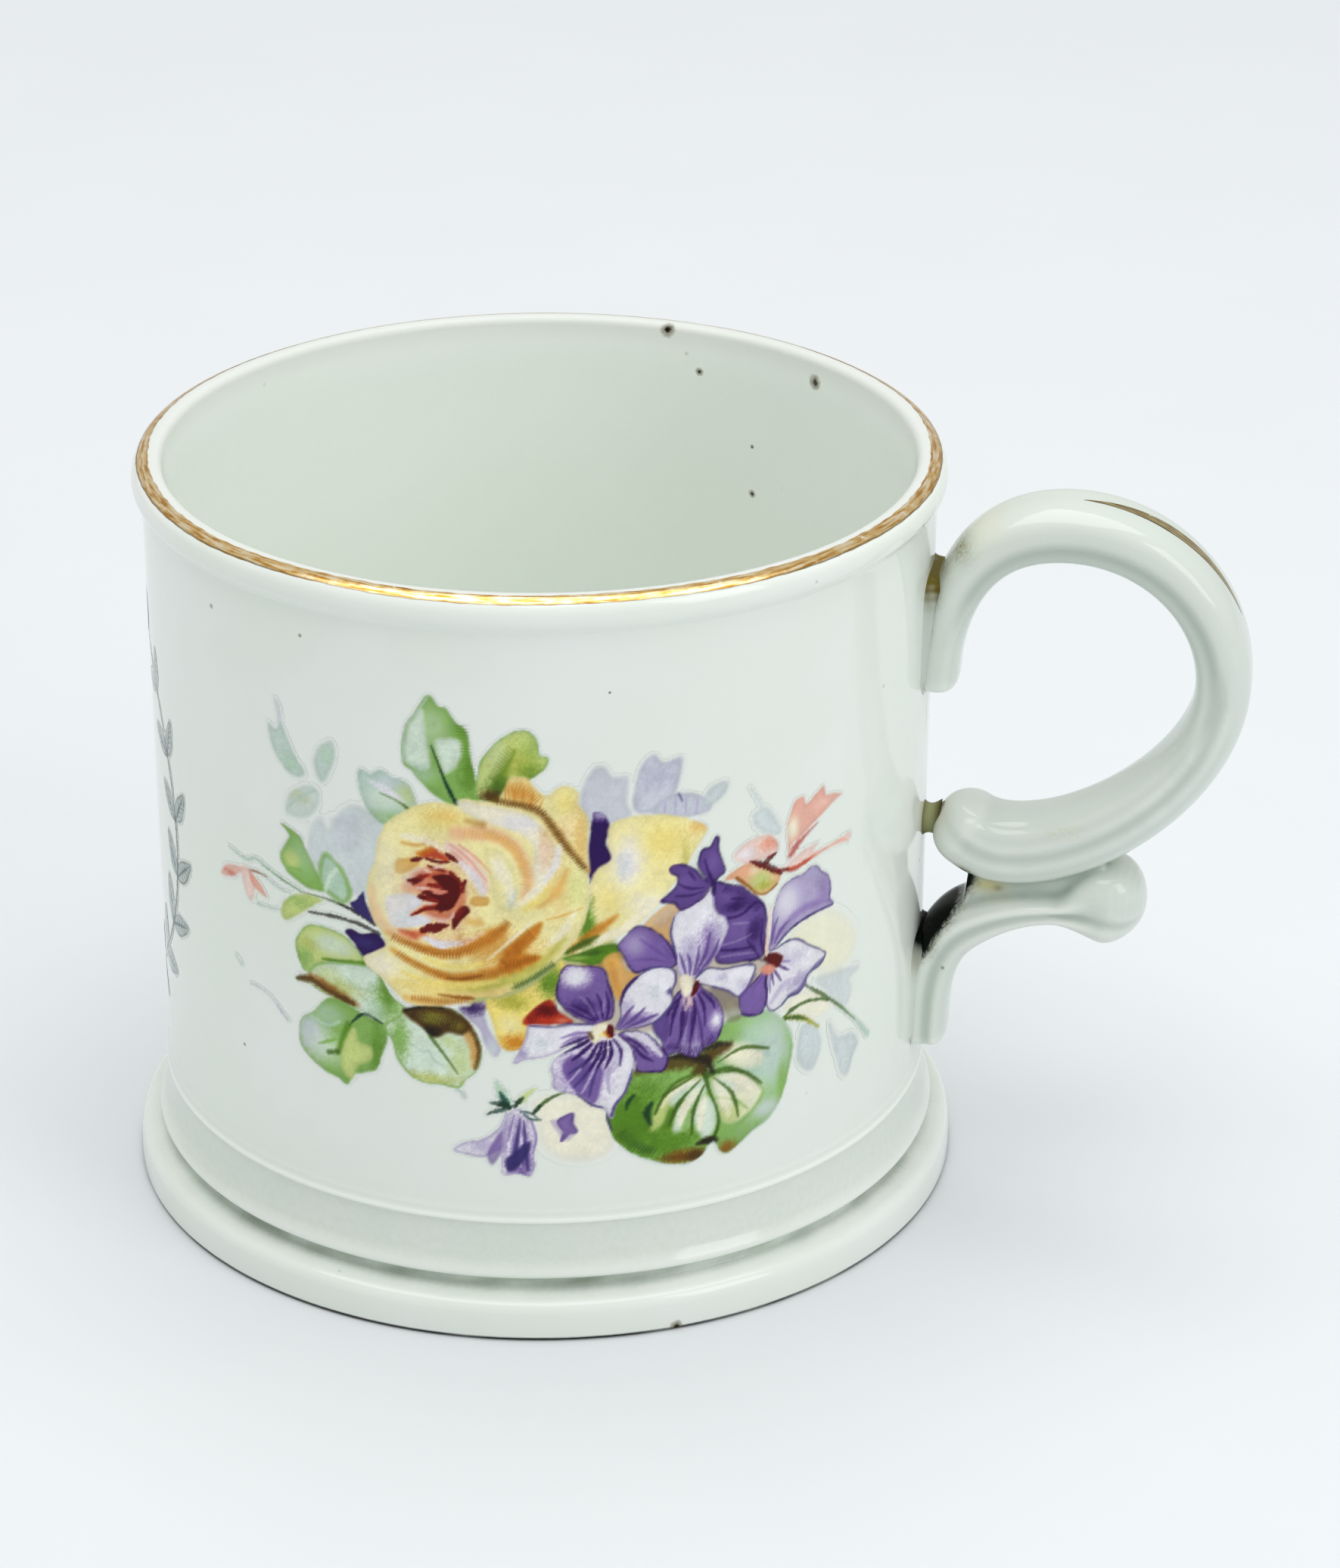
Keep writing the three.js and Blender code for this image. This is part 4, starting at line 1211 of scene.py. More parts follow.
lobed_leaf = wash(LIME, [
    -6.8, 62.8, -6.7, 65.4, -6.3, 67, -4.8, 69, -3, 70.3, -1.7, 70.4, -0.7, 69.4, -0.4, 67.8, 0.4, 67.4,
    0.2, 66.4, -1, 65.3, -1.8, 64.6, -4.2, 62.4,
], rim=LEAF)
dab(lobed_leaf, (LEAF, -1.2, 67.6, 1.6, 2, 0.45), (PALE_GREEN, -4.6, 67.4, 1.2, 2, 0.4))
line(GRASS, [-4.8, 63, -4.2, 65.4, -3.4, 67, -2.9, 68.2], (1.5, 1, 0.4, 0.1), 0.8, 0.25)
dab(
    lobed_leaf,
    (OLIVE_INK, -2.4, 66.6, 2.6, 2.8, 0.55), (MOSS, -4.6, 64, 1.6, 1.2, 0.6),
    (GRASS, -1.4, 65.8, 1.3, 1.1, 0.5),
)
hatch(MOSS, [-5.4, 64.6, -4.2, 66.8, -3, 68.6], 1.2, 0.36, 0.4)
dab(lobed_leaf, (BROWN, -5.4, 62.9, 1.5, 0.9, 0.9))
side_leaf = wash(SEA_MIST, [
    -13, 60.2, -13.4, 61.8, -14.3, 63.6, -16, 64, -17.2, 64.6, -18.4, 64, -19.6, 64.3, -19.9, 63.2,
    -19.4, 61, -18.6, 59.6, -17.4, 58.6, -16, 57.9, -14.6, 58.2, -13.4, 59.4,
], rim=SEA_MIST)
dab(
    side_leaf,
    (LEAF, -15.4, 59.2, 3, 1.3, 0.6), (LIME, -14.6, 62, 1.4, 1.6, 0.6),
    (PALE_GREEN, -17, 61.4, 2.2, 1.5, 0.95), (MIST, -16.6, 63.4, 1.6, 0.8, 0.8),
)
line(MOSS, [-13.6, 60.2, -15.4, 61.4, -17.4, 62], (0.5, 0.3, 0.1), 0.75)
line(WHITE, [-18.6, 63.2, -16.6, 62.4, -14.8, 61.4], (0.3, 1, 0.3), 0.9, 0.2)
upright_leaf = wash(LEAF, [
    -24.4, 49.2, -25.4, 51.4, -26.6, 53.4, -27.4, 54.8, -29.8, 55.5, -28.8, 54.4, -29.6, 53, -30.2, 51.6,
    -29.4, 50.2, -28, 49.4, -26.4, 48.9,
], 0.2)
dab(upright_leaf, (MINT, -27, 52.4, 2.4, 2.6, 0.45), (LIME, -28.6, 51.6, 1.4, 1.3, 0.95))
line(LEAF, [-29, 50.6, -27.4, 50.8], 0.4, 0.7)
wash(MINT, [
    -24.6, 49.6, -24.9, 51.4, -24.2, 53.4, -22.8, 52.8, -21.6, 51.2, -21.2, 49.4, -22, 48.4, -23.4, 48.8,
], rim=LEAF, rim_width=0.35)
line(PALE_GREEN, [-24.2, 49.4, -23.6, 51, -22.8, 52], 0.5, 0.8)
low_leaf = wash(LIME, [
    -24.6, 48, -26.6, 48.2, -28.8, 47.4, -30, 46.2, -30.4, 45, -29.8, 44.2, -28.4, 45, -26.6, 46.4,
    -25.6, 47.2,
], 0.2)
dab(low_leaf, (LEAF, -28, 47, 2.4, 0.8, 0.4))
broad_leaf = wash(LIME, [
    -19.6, 41.8, -20.6, 43.2, -22.2, 44.4, -24.6, 44.8, -26.8, 44.4, -28.2, 42.6, -28.4, 41.4, -27.6, 39.2,
    -26.8, 39, -25.6, 40.2, -23, 41.2, -20.8, 41.2,
], rim=LEAF)
dab(
    broad_leaf,
    (LEAF, -27.4, 40.4, 1.4, 1.5, 0.7), (PALE_GREEN, -23.6, 43, 3, 1.3, 0.85),
    (OLIVE_INK, -26.6, 42.4, 1.2, 0.8, 0.3),
)
line(GRASS, [-19.8, 41.6, -22.6, 41.3, -25, 41], (0.7, 0.4, 0.2), 0.8)
curled_leaf = wash(PALE_GREEN, [
    -28.6, 37.6, -27, 38.6, -25.4, 40.2, -22.8, 41, -20.4, 41.4, -18.6, 41.2, -17.6, 40, -16.6, 38.4,
    -14.8, 37, -15.2, 35.2, -17.4, 34.6, -19, 35.6, -20.8, 36.2, -22.8, 36.6, -25, 37, -27, 37.6,
], rim=LEAF)
dab(
    curled_leaf,
    (LIME, -24.4, 39.4, 2.4, 1, 0.5), (OLIVE_INK, -22.8, 38, 3, 1.2, 0.5),
    (LEAF, -16.8, 37.4, 2.2, 2.6, 0.9), (GRASS, -17.2, 39, 0.9, 2, 0.6), (MINT, -18.6, 36.6, 1.4, 1.2, 0.6),
)
line(UMBER, [-27.6, 38, -26, 38.2, -24, 37.6, -22, 36.9, -20.6, 36.6], (0.8, 1.3, 1.3, 0.9, 0.2), 0.75, 0.35)
line(BROWN, [
    -28.4, 37.7, -26.6, 38.1, -24.6, 37.4, -22.4, 36.9, -21, 36.5,
], (0.4, 0.7, 0.4, 0.7, 0.2), 0.8, 0.2)
line(MINT, [-22, 39.6, -20.6, 38.6, -19, 38.8], 0.25, 0.7)
wide_leaf = wash(LEAF, [
    -17.4, 34.8, -17.3, 33, -18, 31, -18.6, 29.4, -20, 28.6, -21.4, 28, -22.2, 26.7, -23.4, 27.2, -25, 27.6,
    -26.6, 28.4, -28.1, 29.6, -28.3, 31.2, -27.9, 33, -26.4, 34.2, -24.4, 36.4, -22.6, 36.4, -20.4, 35.8,
    -18.8, 35.2,
], rim=LEAF)
dab(
    wide_leaf,
    (MIST, -26.6, 31.6, 2.4, 2.8, 1), (PALE_GREEN, -24.6, 30.4, 2.6, 2.2, 0.8),
    (MINT, -24.4, 34.6, 2.2, 1.4, 0.7), (GRASS, -18.4, 31.6, 0.9, 3, 0.5),
)
wash(LIME, [
    -22.8, 28.4, -22.6, 31.6, -21.2, 33.8, -20.6, 32.2, -19.2, 31.8, -19.2, 30.4, -20.8, 29.2, -21.6, 27.4,
], 0.2)
line(PINE, [-17.8, 35, -19.8, 35.7, -21, 34.8, -21.8, 33.8], (0.2, 0.4, 0.15), 0.85)
line(GRASS, [-21.8, 34, -22.7, 32, -23.2, 30.2], (0.8, 0.6, 0.4), 0.8, 0.2)
line(LEAF, [-25.8, 30.6, -24.6, 31.2, -23.4, 31.8], (0.15, 0.4, 0.3))
line(MOSS, [-24.5, 29.9, -23.4, 30.3], 0.5, 0.8, 0.2)
line(MINT, [-26.6, 33.6, -24.6, 33.2, -23, 34], 0.4, 0.8)
heart_leaf = wash(PALE_GREEN, [
    -15.2, 37, -13.8, 37.6, -11.4, 38, -9.4, 37.6, -8, 36.2, -7.1, 34.4, -6.9, 32.4, -7.4, 30.8, -8.6, 29.6,
    -9.4, 28.6, -11.2, 28.8, -13, 28.7, -14.6, 29.4, -16, 31, -16.6, 33, -17.4, 34.8, -16, 36,
], rim=LEAF)
dab(
    heart_leaf,
    (LEAF, -15.8, 33.6, 1.3, 3, 0.95), (OLIVE_INK, -12.4, 29.2, 3.4, 0.9, 0.6),
    (LIME, -9, 31.6, 1.6, 2.4, 0.6), (LIME, -10.4, 34, 1.3, 0.9, 0.5),
)
line(AMBER, [-8.4, 35.6, -7.6, 33.6, -7.6, 31.2], (1.4, 1.2, 0.5), 0.6, 0.3)
line(BROWN, [-9, 37.2, -7.6, 35.2, -7.1, 33, -7.5, 31], (0.4, 0.6, 0.5, 0.3), 0.8, 0.18)
shaded_part = wash(BROWN, [
    -15.4, 37, -13, 37.9, -10.6, 38, -9, 37.2, -8, 36, -8.8, 35, -10.4, 35.1, -12, 34.4, -13.4, 35.4,
], 0.25)
dab(
    shaded_part,
    (OLIVE_INK, -12, 36.6, 1.8, 0.8, 0.7), (OLIVE_INK, -9.4, 36, 0.9, 0.7, 0.4),
    (NEAR_BLACK, -12.4, 34.9, 1.2, 0.8, 0.9),
)
line(NEAR_BLACK, [-15.2, 37, -13, 37.8, -10.8, 37.9], (0.3, 0.35, 0.2), 0.8)
line(MOSS, [-12.4, 34.4, -10.6, 32, -9.4, 30.2], (0.4, 0.3, 0.15), 0.75)
line(SEA_MIST, [-14.6, 33.2, -13.2, 32.4, -12.6, 32.6, -12, 31.6, -11, 31], 0.2)
line(SEA_MIST, [-9.5, 28.3, -9, 28, -8.7, 27.5], 0.35, 0.95)

# The small coral bud on the left.
left_bud = wash(CORAL, [-40.2, 46.1, -39, 47.6, -36.6, 48.3, -35, 48.5, -36.6, 47.5, -38, 46.5], 0.2, 0.65)
dab(left_bud, (SCARLET, -38.4, 46.9, 1.2, 0.4, 0.5))
wash(BLUSH, [-36.4, 48.2, -35, 48.3, -34.3, 47, -34.6, 45.2, -35.2, 44.8, -36, 46], 0.25, 0.95)
wash(CORAL, [-35, 48.1, -33.8, 47.6, -32.4, 46.1, -33.6, 46.2, -34.6, 47], 0.2, 0.75)

# Dark bracts between the petals.
tall_bract = wash(PLUM, [
    4.7, 53.2, 4.6, 57, 5, 60.2, 5.3, 61.1, 6.4, 60.6, 6.8, 59, 6.5, 57.4, 7.1, 55.8, 6.6, 55, 5.6, 54.4,
    5, 53.4,
])
dab(tall_bract, (LAVENDER, 6, 60.8, 1.2, 0.8, 0.9))
wash(INDIGO, [-21.2, 48.4, -20.4, 49.2, -19.6, 50.2, -19.3, 49, -18.5, 47.2, -18.6, 46.8, -20.2, 47.4])
low_bract = wash(PLUM, [
    -22, 44.9, -21.2, 45.5, -20, 45.2, -18.6, 45.6, -17.6, 45.2, -17.1, 44.2, -18.4, 43.4, -19.8, 42.6,
    -20.8, 43.8,
])
dab(low_bract, (INDIGO, -19.6, 44.2, 1.6, 0.8, 0.8))
hanging_bract = wash(LAVENDER, [
    -9.2, 38, -8, 38.4, -7.4, 38.9, -6.2, 39, -6.4, 37.4, -5.8, 35.6, -4.8, 33.6, -5.4, 32.6, -6.4, 34,
    -7.2, 36,
], 0.2, 0.8)
dab(hanging_bract, (PLUM, -7.6, 38.2, 1.7, 0.9, 0.9), (MIST, -5.6, 33.6, 1, 1.6, 0.8))

# Petals behind the rose.
outer_petals = wash(STRAW, [
    -4.6, 62.2, -3.8, 64.2, -3.2, 65.2, -1.6, 65.1, -0.8, 64, 0.4, 63.2, 1.4, 64, 2.6, 64.2, 3.6, 63.4,
    3.6, 62, 4.6, 60.2, 4.5, 57, 4.7, 54.2, 3.4, 54.6, 0.6, 57.6, -1.6, 61, -3, 61.6,
], 0.18)
dab(
    outer_petals,
    (OCHRE, -2.2, 63.6, 2, 1.8, 0.75), (OCHRE, 3.8, 58, 0.9, 4, 0.55), (BUTTER, 2.2, 62.4, 1.2, 1.6, 0.6),
    (PEACH, 2.4, 59.4, 1.2, 1.6, 0.3),
)
fan(AMBER, [
    [-3, 62.4, -3, 63.8], [-2.2, 62.3, -2, 64], [-1.4, 62, -1, 63.4], [-0.6, 61.6, 0, 62.8],
], 0.25, 0.5)
side_petals = wash(STRAW, [
    4.8, 53, 5.6, 54.6, 7, 55.6, 6.6, 57.6, 7, 59.5, 9, 60.2, 11, 60.2, 13.5, 59.8, 15.6, 59, 17.4, 57.6,
    16, 55.2, 14.6, 53, 12.6, 50.6, 10.6, 48.4, 8.4, 46.9, 6, 45.8, 3, 44.9, 1.8, 44.8, 3, 47.4, 4.6, 50,
], 0.18)
dab(
    side_petals,
    (BUTTER, 12.6, 57, 3.2, 3, 0.7), (BUTTER, 7, 51, 2, 2, 0.45), (CREAM, 8.8, 54.8, 2.2, 3.6, 1),
    (WHITE, 8.8, 55, 1.2, 2.6, 0.7), (MIST, 8.2, 54.4, 0.7, 1.6, 0.6), (CREAM, 11, 50, 2.6, 1.6, 0.9),
    (OCHRE, 16.4, 58, 1.4, 0.9, 0.6), (OLIVE_INK, 15, 55, 0.5, 1.6, 0.35),
)
line(CREAM, [2.6, 45, 5.6, 46.2, 8.6, 47.6, 11.6, 50.2], (0.4, 1, 1, 0.6), 0.9, 0.25)
dab(side_petals, (GRASS, 4.4, 48.4, 1, 3, 0.9))
line(AMBER, [2.6, 45.2, 4.6, 46.7, 6.2, 47.9, 7.6, 49], (0.7, 1.3, 1, 0.2), 0.75, 0.3)
line(MOSS, [2.2, 45, 4, 46, 5.6, 46.8], (0.5, 0.8, 0.2), 0.9, 0.2)
sepal = wash(GRASS, [1.8, 44.3, 3.4, 43.9, 5, 43.4, 6.8, 43.9, 7.9, 45, 7.4, 45.8, 5.6, 45.6, 3.6, 44.9])
dab(sepal, (MOSS, 5, 44.8, 1.4, 0.4, 0.9), (LIME, 3.4, 44.3, 1.4, 0.3, 0.5))
under_petals = wash(BUTTER, [
    -6.2, 39.2, -4.6, 39.6, -2.6, 40.4, -0.8, 41.6, 1, 43.4, 1.8, 44.2, 2.2, 42.6, 1.6, 40.8, 0.8, 39.4,
    -0.6, 37.2, -1.8, 35.4, -2.6, 33.8, -4, 33.4, -5, 34.4, -5.6, 36.6,
], 0.18)
dab(
    under_petals,
    (GRASS, 0.6, 41.8, 1.6, 2, 0.85), (OLIVE_INK, -3.4, 39.2, 2, 1.2, 0.75),
    (STRAW, -3.8, 36.4, 1.4, 1.6, 0.8), (AMBER, -3.2, 34.4, 1.8, 1.1, 0.8),
)
red_petal = wash(SCARLET, [
    -2.4, 36.7, -1.2, 38.4, 0.2, 39.4, 0.9, 39.2, 1.6, 38, 3, 36.8, 1, 36.5, -0.6, 36.5,
], 0.18)
dab(red_petal, (CRIMSON, 0, 38.2, 1.3, 0.9, 1), (CORAL, 1.8, 37, 0.9, 0.4, 0.6))

# The rose: a bowl of pale petals, layered with amber hatching below and opening on a crimson heart.
rose = wash(STRAW, [
    -16.8, 58.6, -14.6, 60.4, -12.6, 61.6, -10.4, 61.9, -8.6, 61.7, -8.6, 62.4, -6.6, 62.4, -4.4, 62.2,
    -2, 62, -0.2, 60.9, 1.2, 59, 2.4, 57, 3.8, 55.4, 4.6, 53.4, 4.6, 50.6, 4, 48, 2.8, 46, 1.2, 44,
    -0.8, 42.4, -3, 40.8, -5, 39.8, -7, 39.6, -9.4, 38.6, -12.6, 38, -14.8, 38, -16.6, 39.4, -17.8, 40.6,
    -19.4, 41.6, -19.6, 42.6, -18.4, 43.4, -17.2, 44.4, -17.6, 45.8, -18.4, 47, -19, 48.6, -19.2, 50.6,
    -18.8, 52.4, -18.1, 54.2, -17.9, 56.2, -17.2, 57.8,
])
line(UMBER, [
    -5, 62.5, -2.4, 62.1, -0.4, 61.4, 0.8, 59.8, 2.4, 57.2, 4.5, 54.4,
], (0.4, 0.7, 0.8, 0.8, 0.8, 0.3), 0.6, 0.3)
dab(
    rose,
    (CREAM, -17.6, 42, 2.4, 1.7, 0.95), (BUTTER, -10.6, 60, 3.4, 1.5, 0.6), (OCHRE, -10.2, 60.4, 2, 1, 0.4),
    (CREAM, -16.8, 55, 1.6, 3.6, 0.4), (OCHRE, -8, 40, 8, 1.6, 0.4),
)
line(OLIVE_INK, [-10, 40.6, -6.6, 41, -3, 42.2, 0, 44.2, 2, 46.6], (0.6, 1.6, 1.7, 1.2, 0.4), 0.6, 0.4)
line(MOSS, [-3.4, 40.8, -1, 42.2, 0.8, 43.6], (0.2, 0.5, 0.5), 0.6, 0.2)
line(OCHRE, [-15, 38.6, -12, 38.6, -8, 39.2], (0.6, 1.1, 0.6), 0.75, 0.3)
line(UMBER, [-11.4, 39.5, -9.4, 39.4, -7.6, 39.4], (0.2, 0.5, 0.3), 0.75)
line(BUTTER, [-16, 40.4, -12, 40, -8.6, 40.4], (0.6, 1.4, 0.6), 0.5, 0.4)
line(AMBER, [
    -16.4, 44, -13, 42.5, -9.6, 41.7, -6, 42.4, -2.6, 43.6, -0.8, 44.4,
], (0.4, 1, 1.2, 1.4, 1.2, 0.4), 0.7, 0.35)
line(UMBER, [-10.4, 41.5, -8.6, 41.6, -6.6, 42.2], (0.2, 0.5, 0.2), 0.7)
line(STRAW, [-15.6, 44.4, -12, 43.2, -8, 43.4, -5, 45], (0.4, 1, 1.1, 0.6), 0.9, 0.25)
wash(AMBER, [
    -4.9, 43.5, -3.8, 45.6, -1.8, 47.6, -0.3, 48.6, -0.9, 46.8, -2.4, 45, -0.5, 44.5, -2.8, 43.4, -4.4, 43,
], 0.3, 0.85)
line(AMBER, [
    -16.8, 46, -13.6, 44.9, -10.2, 44.5, -7.4, 45.6, -5, 47.4, -3.6, 48.8,
], (0.5, 0.9, 1.2, 1.5, 1.6, 0.3), 0.72, 0.35)
line(BLUSH, [-12.7, 46, -11, 45.5, -8.6, 45.9, -6.4, 47.2], (0.6, 0.8, 0.8, 0.3), 0.95, 0.2)
line(STRAW, [-7.6, 46.9, -5.4, 48.4, -2.4, 49.4, 0.2, 50.4], (0.5, 1, 1.2, 0.6), 0.8, 0.3)
dab(rose, (LIME, 3.2, 52.4, 1.3, 3.2, 0.4))
line(OCHRE, [-0.6, 50.4, 1.2, 52, 2.4, 54.6], (0.5, 1.1, 0.4), 0.75, 0.3)
line(BUTTER, [-2, 50, -0.4, 51.6, 0.6, 53.6], (0.5, 1.2, 0.5), 0.8, 0.3)
line(OCHRE, [0.2, 48.9, 2.4, 49.5, 4, 50.2], (0.2, 0.35, 0.1), 0.8)
white_petal = wash(CREAM, [
    -8.8, 62.2, -6, 61.9, -3, 61.4, -0.8, 60.2, 0.6, 58.4, 1.2, 56.4, 0.8, 54.6, -0.8, 52.8, -1.2, 54.6,
    -1, 57, -2.4, 58.8, -4.4, 59.6, -6.4, 60.2, -8.4, 61.2,
], 0.25)
dab(
    white_petal,
    (WHITE, -2.4, 60, 2.6, 1.2, 0.7), (PEACH, 0.2, 56.8, 0.9, 2.8, 0.4), (OCHRE, 0.6, 59, 1, 1.4, 0.35),
)
line(PEACH, [
    -9, 58.6, -6.6, 58.7, -4.4, 58.2, -2.8, 56.9, -1.9, 55, -1.7, 53, -2.2, 51.4,
], (1.6, 1.6, 1.3, 1.2, 1.1, 0.6), 0.75, 0.4)
line(OCHRE, [-6, 58.6, -4, 57.8, -2.6, 56.2, -2, 54], (0.4, 0.9, 0.9, 0.4), 0.5, 0.3)
line(UMBER, [-8, 60, -6.4, 59.7], (0.5, 0.7), 0.4, 0.3)
inner_petal = wash(STRAW, [
    -6.2, 56.7, -5, 57, -3.8, 55.8, -3, 53.8, -2.8, 51.8, -3.6, 49.8, -5.2, 50.6, -5.6, 53.4,
], 0.25)
dab(inner_petal, (CREAM, -4.6, 55, 0.9, 1.6, 0.7), (MIST, -3.2, 51.4, 0.9, 1.3, 0.7))
line(CREAM, [1.6, 57.4, 1.3, 55.4, 0.1, 53.4, -1.8, 51.6], (0.5, 0.9, 0.8, 0.3), 0.95, 0.2)
line(CREAM, [-15, 57.5, -12.6, 57.3, -10.4, 56.4], (0.5, 0.9, 0.5), 0.85, 0.25)
line(AMBER, [-15, 56.7, -13.6, 56.6, -12.6, 56.8], 0.3, 0.6, 0.2)
dab(rose, (PEACH, -11.4, 50.8, 4, 5.2, 0.75))
line(BLUSH, [-10, 57, -8.2, 55.6, -6.8, 53.8, -6.2, 52.2], (0.8, 2, 1.9, 0.8), 0.95, 0.3)
fan(CORAL, [
    [-9.8, 57.2, -7.8, 55.6, -6, 53.2], [-8.8, 57.2, -7, 55.8, -5.6, 54.2], [-9.6, 56.4, -8, 55],
], 0.3, 0.7)
line(PEACH, [
    -18.5, 51, -18.4, 48.8, -17.4, 47, -15.6, 45.9, -13.6, 45.6,
], (0.6, 1.1, 1.3, 1.2, 0.5), 0.55, 0.4)
line(SCARLET, [-15.4, 46.4, -13.8, 46.2, -12.8, 46.6], (0.4, 1, 0.5), 0.7, 0.3)
highlight = wash(WHITE, [
    -17, 50, -15.6, 50.6, -14, 50.9, -12.9, 50, -14.2, 48.7, -12.4, 48.5, -12.2, 47.8, -14, 47.1,
    -16.2, 46.8, -16.9, 48.2,
], 0.2)
dab(highlight, (MIST, -15, 47.9, 1.4, 0.8, 0.8))
wash(OCHRE, [-15.8, 53.2, -15.6, 54.7, -13.4, 55.1, -13.4, 54.2, -14.8, 53.2], 0.2, 0.85)
wash(BLUSH, [-15, 52.4, -13.4, 54, -12.2, 53.6, -13.4, 51.8], 0.3, 0.7)
line(CORAL, [-14.6, 51.6, -13, 51.9], (1.2, 0.8), 0.6, 0.3)
wash(OCHRE, [-7.7, 50.4, -7.4, 51.3, -5.8, 51.3, -6, 50.4], 0.15, 0.9)
line(OCHRE, [-8, 48.4, -6.8, 48.4], 0.8, 0.7, 0.3)
line(SCARLET, [-12.8, 55.6, -11.6, 55.9, -10.2, 55.3], (0.6, 1.3, 0.5), 0.85, 0.2)
line(AMBER, [-13.2, 55.6, -11.8, 56.4], 0.6, 0.7, 0.2)
line(SCARLET, [-12, 53.4, -10.6, 53.4], 0.9, 0.5, 0.25)
fan(CRIMSON, [[-12.4, 55.2, -11, 55, -9.9, 55.1], [-12.2, 54.4, -11, 54.1, -10.2, 54]], 0.45)
fan(CRIMSON, [[-13.9, 52.1, -13, 53, -12.2, 53.3], [-12.2, 52.2, -10.8, 52.3, -9.4, 52.9]], 0.6)
line(CRIMSON, [-9.8, 53.9, -9.1, 52.8, -9.3, 51.6, -10, 50.4, -11, 49.2], (0.4, 1, 1.1, 1, 0.3), 0.95)
line(CRIMSON, [-13.2, 50.7, -11.6, 50.6, -9.8, 50.7], (0.5, 0.8, 0.8), 0.95)
line(SCARLET, [-14.2, 48.4, -12.4, 49.5, -10.8, 49.9], (0.2, 0.6, 0.6))
line(CRIMSON, [-14.1, 48.4, -12.6, 49.3, -11, 49.8], (0.1, 0.4, 0.5))
line(CRIMSON, [-13, 46.8, -11.6, 47.3, -10.1, 47.8], (0.6, 1, 0.3))
wash(CRIMSON, [-9.6, 47.3, -9.7, 48.6, -8.8, 50, -8.1, 50.2, -7.8, 49.6, -8.6, 48.6], 0.12, 0.95)
line(CRIMSON, [-8.6, 51.9, -8.2, 53.1], (0.5, 0.35), 0.85)
line(BLUSH, [-12.4, 48.7, -10.8, 48.3, -10, 48.6], (0.3, 0.5, 0.2), 0.95)
wash(SCARLET, [-14, 52.6, -12, 54.2, -9.4, 53.8, -8.2, 51.4, -9.2, 48.6, -12.6, 48.8, -12.2, 50.4], 0.3, 0.4)
wash(CRIMSON, [
    -11.8, 53.2, -10, 53.6, -8.9, 52.6, -9, 51, -10, 49.6, -11.6, 49.4, -11, 50.6, -12.2, 51, -10.6, 52,
])
line(CORAL, [-12.6, 51.7, -11.2, 51.5, -10, 51.7], (0.3, 0.5, 0.2))
line(BUTTER, [-15.4, 41.6, -12, 40.8, -8, 41, -5, 41.6], (0.3, 0.8, 0.8, 0.3), 0.8, 0.2)
line(BUTTER, [-12.8, 43.6, -10, 42.9, -7, 43.4, -4.8, 44.6], (0.3, 0.7, 0.7, 0.3), 0.8, 0.2)
line(CREAM, [0.4, 46, 2, 47.6, 3.2, 49.8], (0.3, 0.9, 0.3), 0.8, 0.25)
line(CREAM, [-3, 50.4, -0.6, 52.4, 0.4, 55], (0.3, 0.9, 0.3), 0.8, 0.25)
line(WHITE, [-12.8, 45.9, -11, 45.4, -8.8, 45.8], (0.4, 0.8, 0.4), 0.95, 0.12)
hatch(UMBER, [-16.6, 45.6, -13.4, 44.7, -10.2, 44.3, -7.4, 45.4, -5, 47.2, -3.8, 48.6], 1.1)
hatch(UMBER, [-16, 43.8, -13, 42.4, -9.6, 41.6, -6, 42.3, -2.6, 43.5], 0.9, 0.32, 0.45)
dab(rose, (AMBER, -4.4, 45.4, 4.4, 2.2, 0.55), (CREAM, -16.6, 50.5, 2.4, 4.6, 0.4))
fan(CRIMSON, [[-14, 54.8, -12.8, 55.2], [-10.2, 56, -9, 55.2]], 0.55)
fan(CRIMSON, [[-14.4, 52.4, -13, 52.6], [-12.8, 51.2, -11.8, 51.4], [-10, 52.4, -9.6, 50.8]], 0.6)
fan(BLUSH, [[-13.4, 51.7, -12.2, 51.8], [-11.6, 54.3, -10.4, 54.5], [-12.8, 50, -11.6, 50.1]], 0.4, 0.85)
fan(BLUSH, [[-9.5, 49.3, -9.9, 48.4], [-12.6, 53.9, -11.8, 53.7]], 0.36, 0.85)
dab(rose, (OCHRE, 1.6, 52.4, 1.4, 3.6, 0.3))
line(WHITE, [-8.6, 55.2, -7.2, 53.4, -6.4, 51.6], (0.4, 1, 0.4), 0.75, 0.2)
line(CREAM, [-5.4, 55.6, -3.9, 53.6, -3.4, 51.2], (0.5, 1.4, 0.5), 0.75, 0.25)
line(WHITE, [1.5, 57, 1.2, 55.2, 0, 53.4], (0.3, 0.8, 0.3), 0.75, 0.2)
hatch(UMBER, [-4.6, 43.6, -3.2, 45.4, -1.4, 47.4], 1.6)
line(CREAM, [-6, 44, -3.4, 46.6, -1, 49], (0.2, 0.5, 0.2), 0.7, 0.15)
hatch(UMBER, [-4.4, 43.4, -2.6, 44, -0.8, 44.5], 0.9)
hatch(BROWN, [-5, 62.5, -2.4, 62.1, -0.4, 61.4, 0.8, 59.8, 2.4, 57.2, 4.3, 54.6], 0.8)
hatch(AMBER, [-4.2, 63.6, -2.4, 63.6, -0.6, 62.4], 1.8)
hatch(OCHRE, [-8.6, 58.6, -5.4, 58.5, -3.2, 57.2, -2, 55, -1.9, 52.6], 1.3, 0.4)
hatch(UMBER, [-14.6, 38.7, -11, 38.7, -8, 39.2], 0.8, 0.32, 0.45)
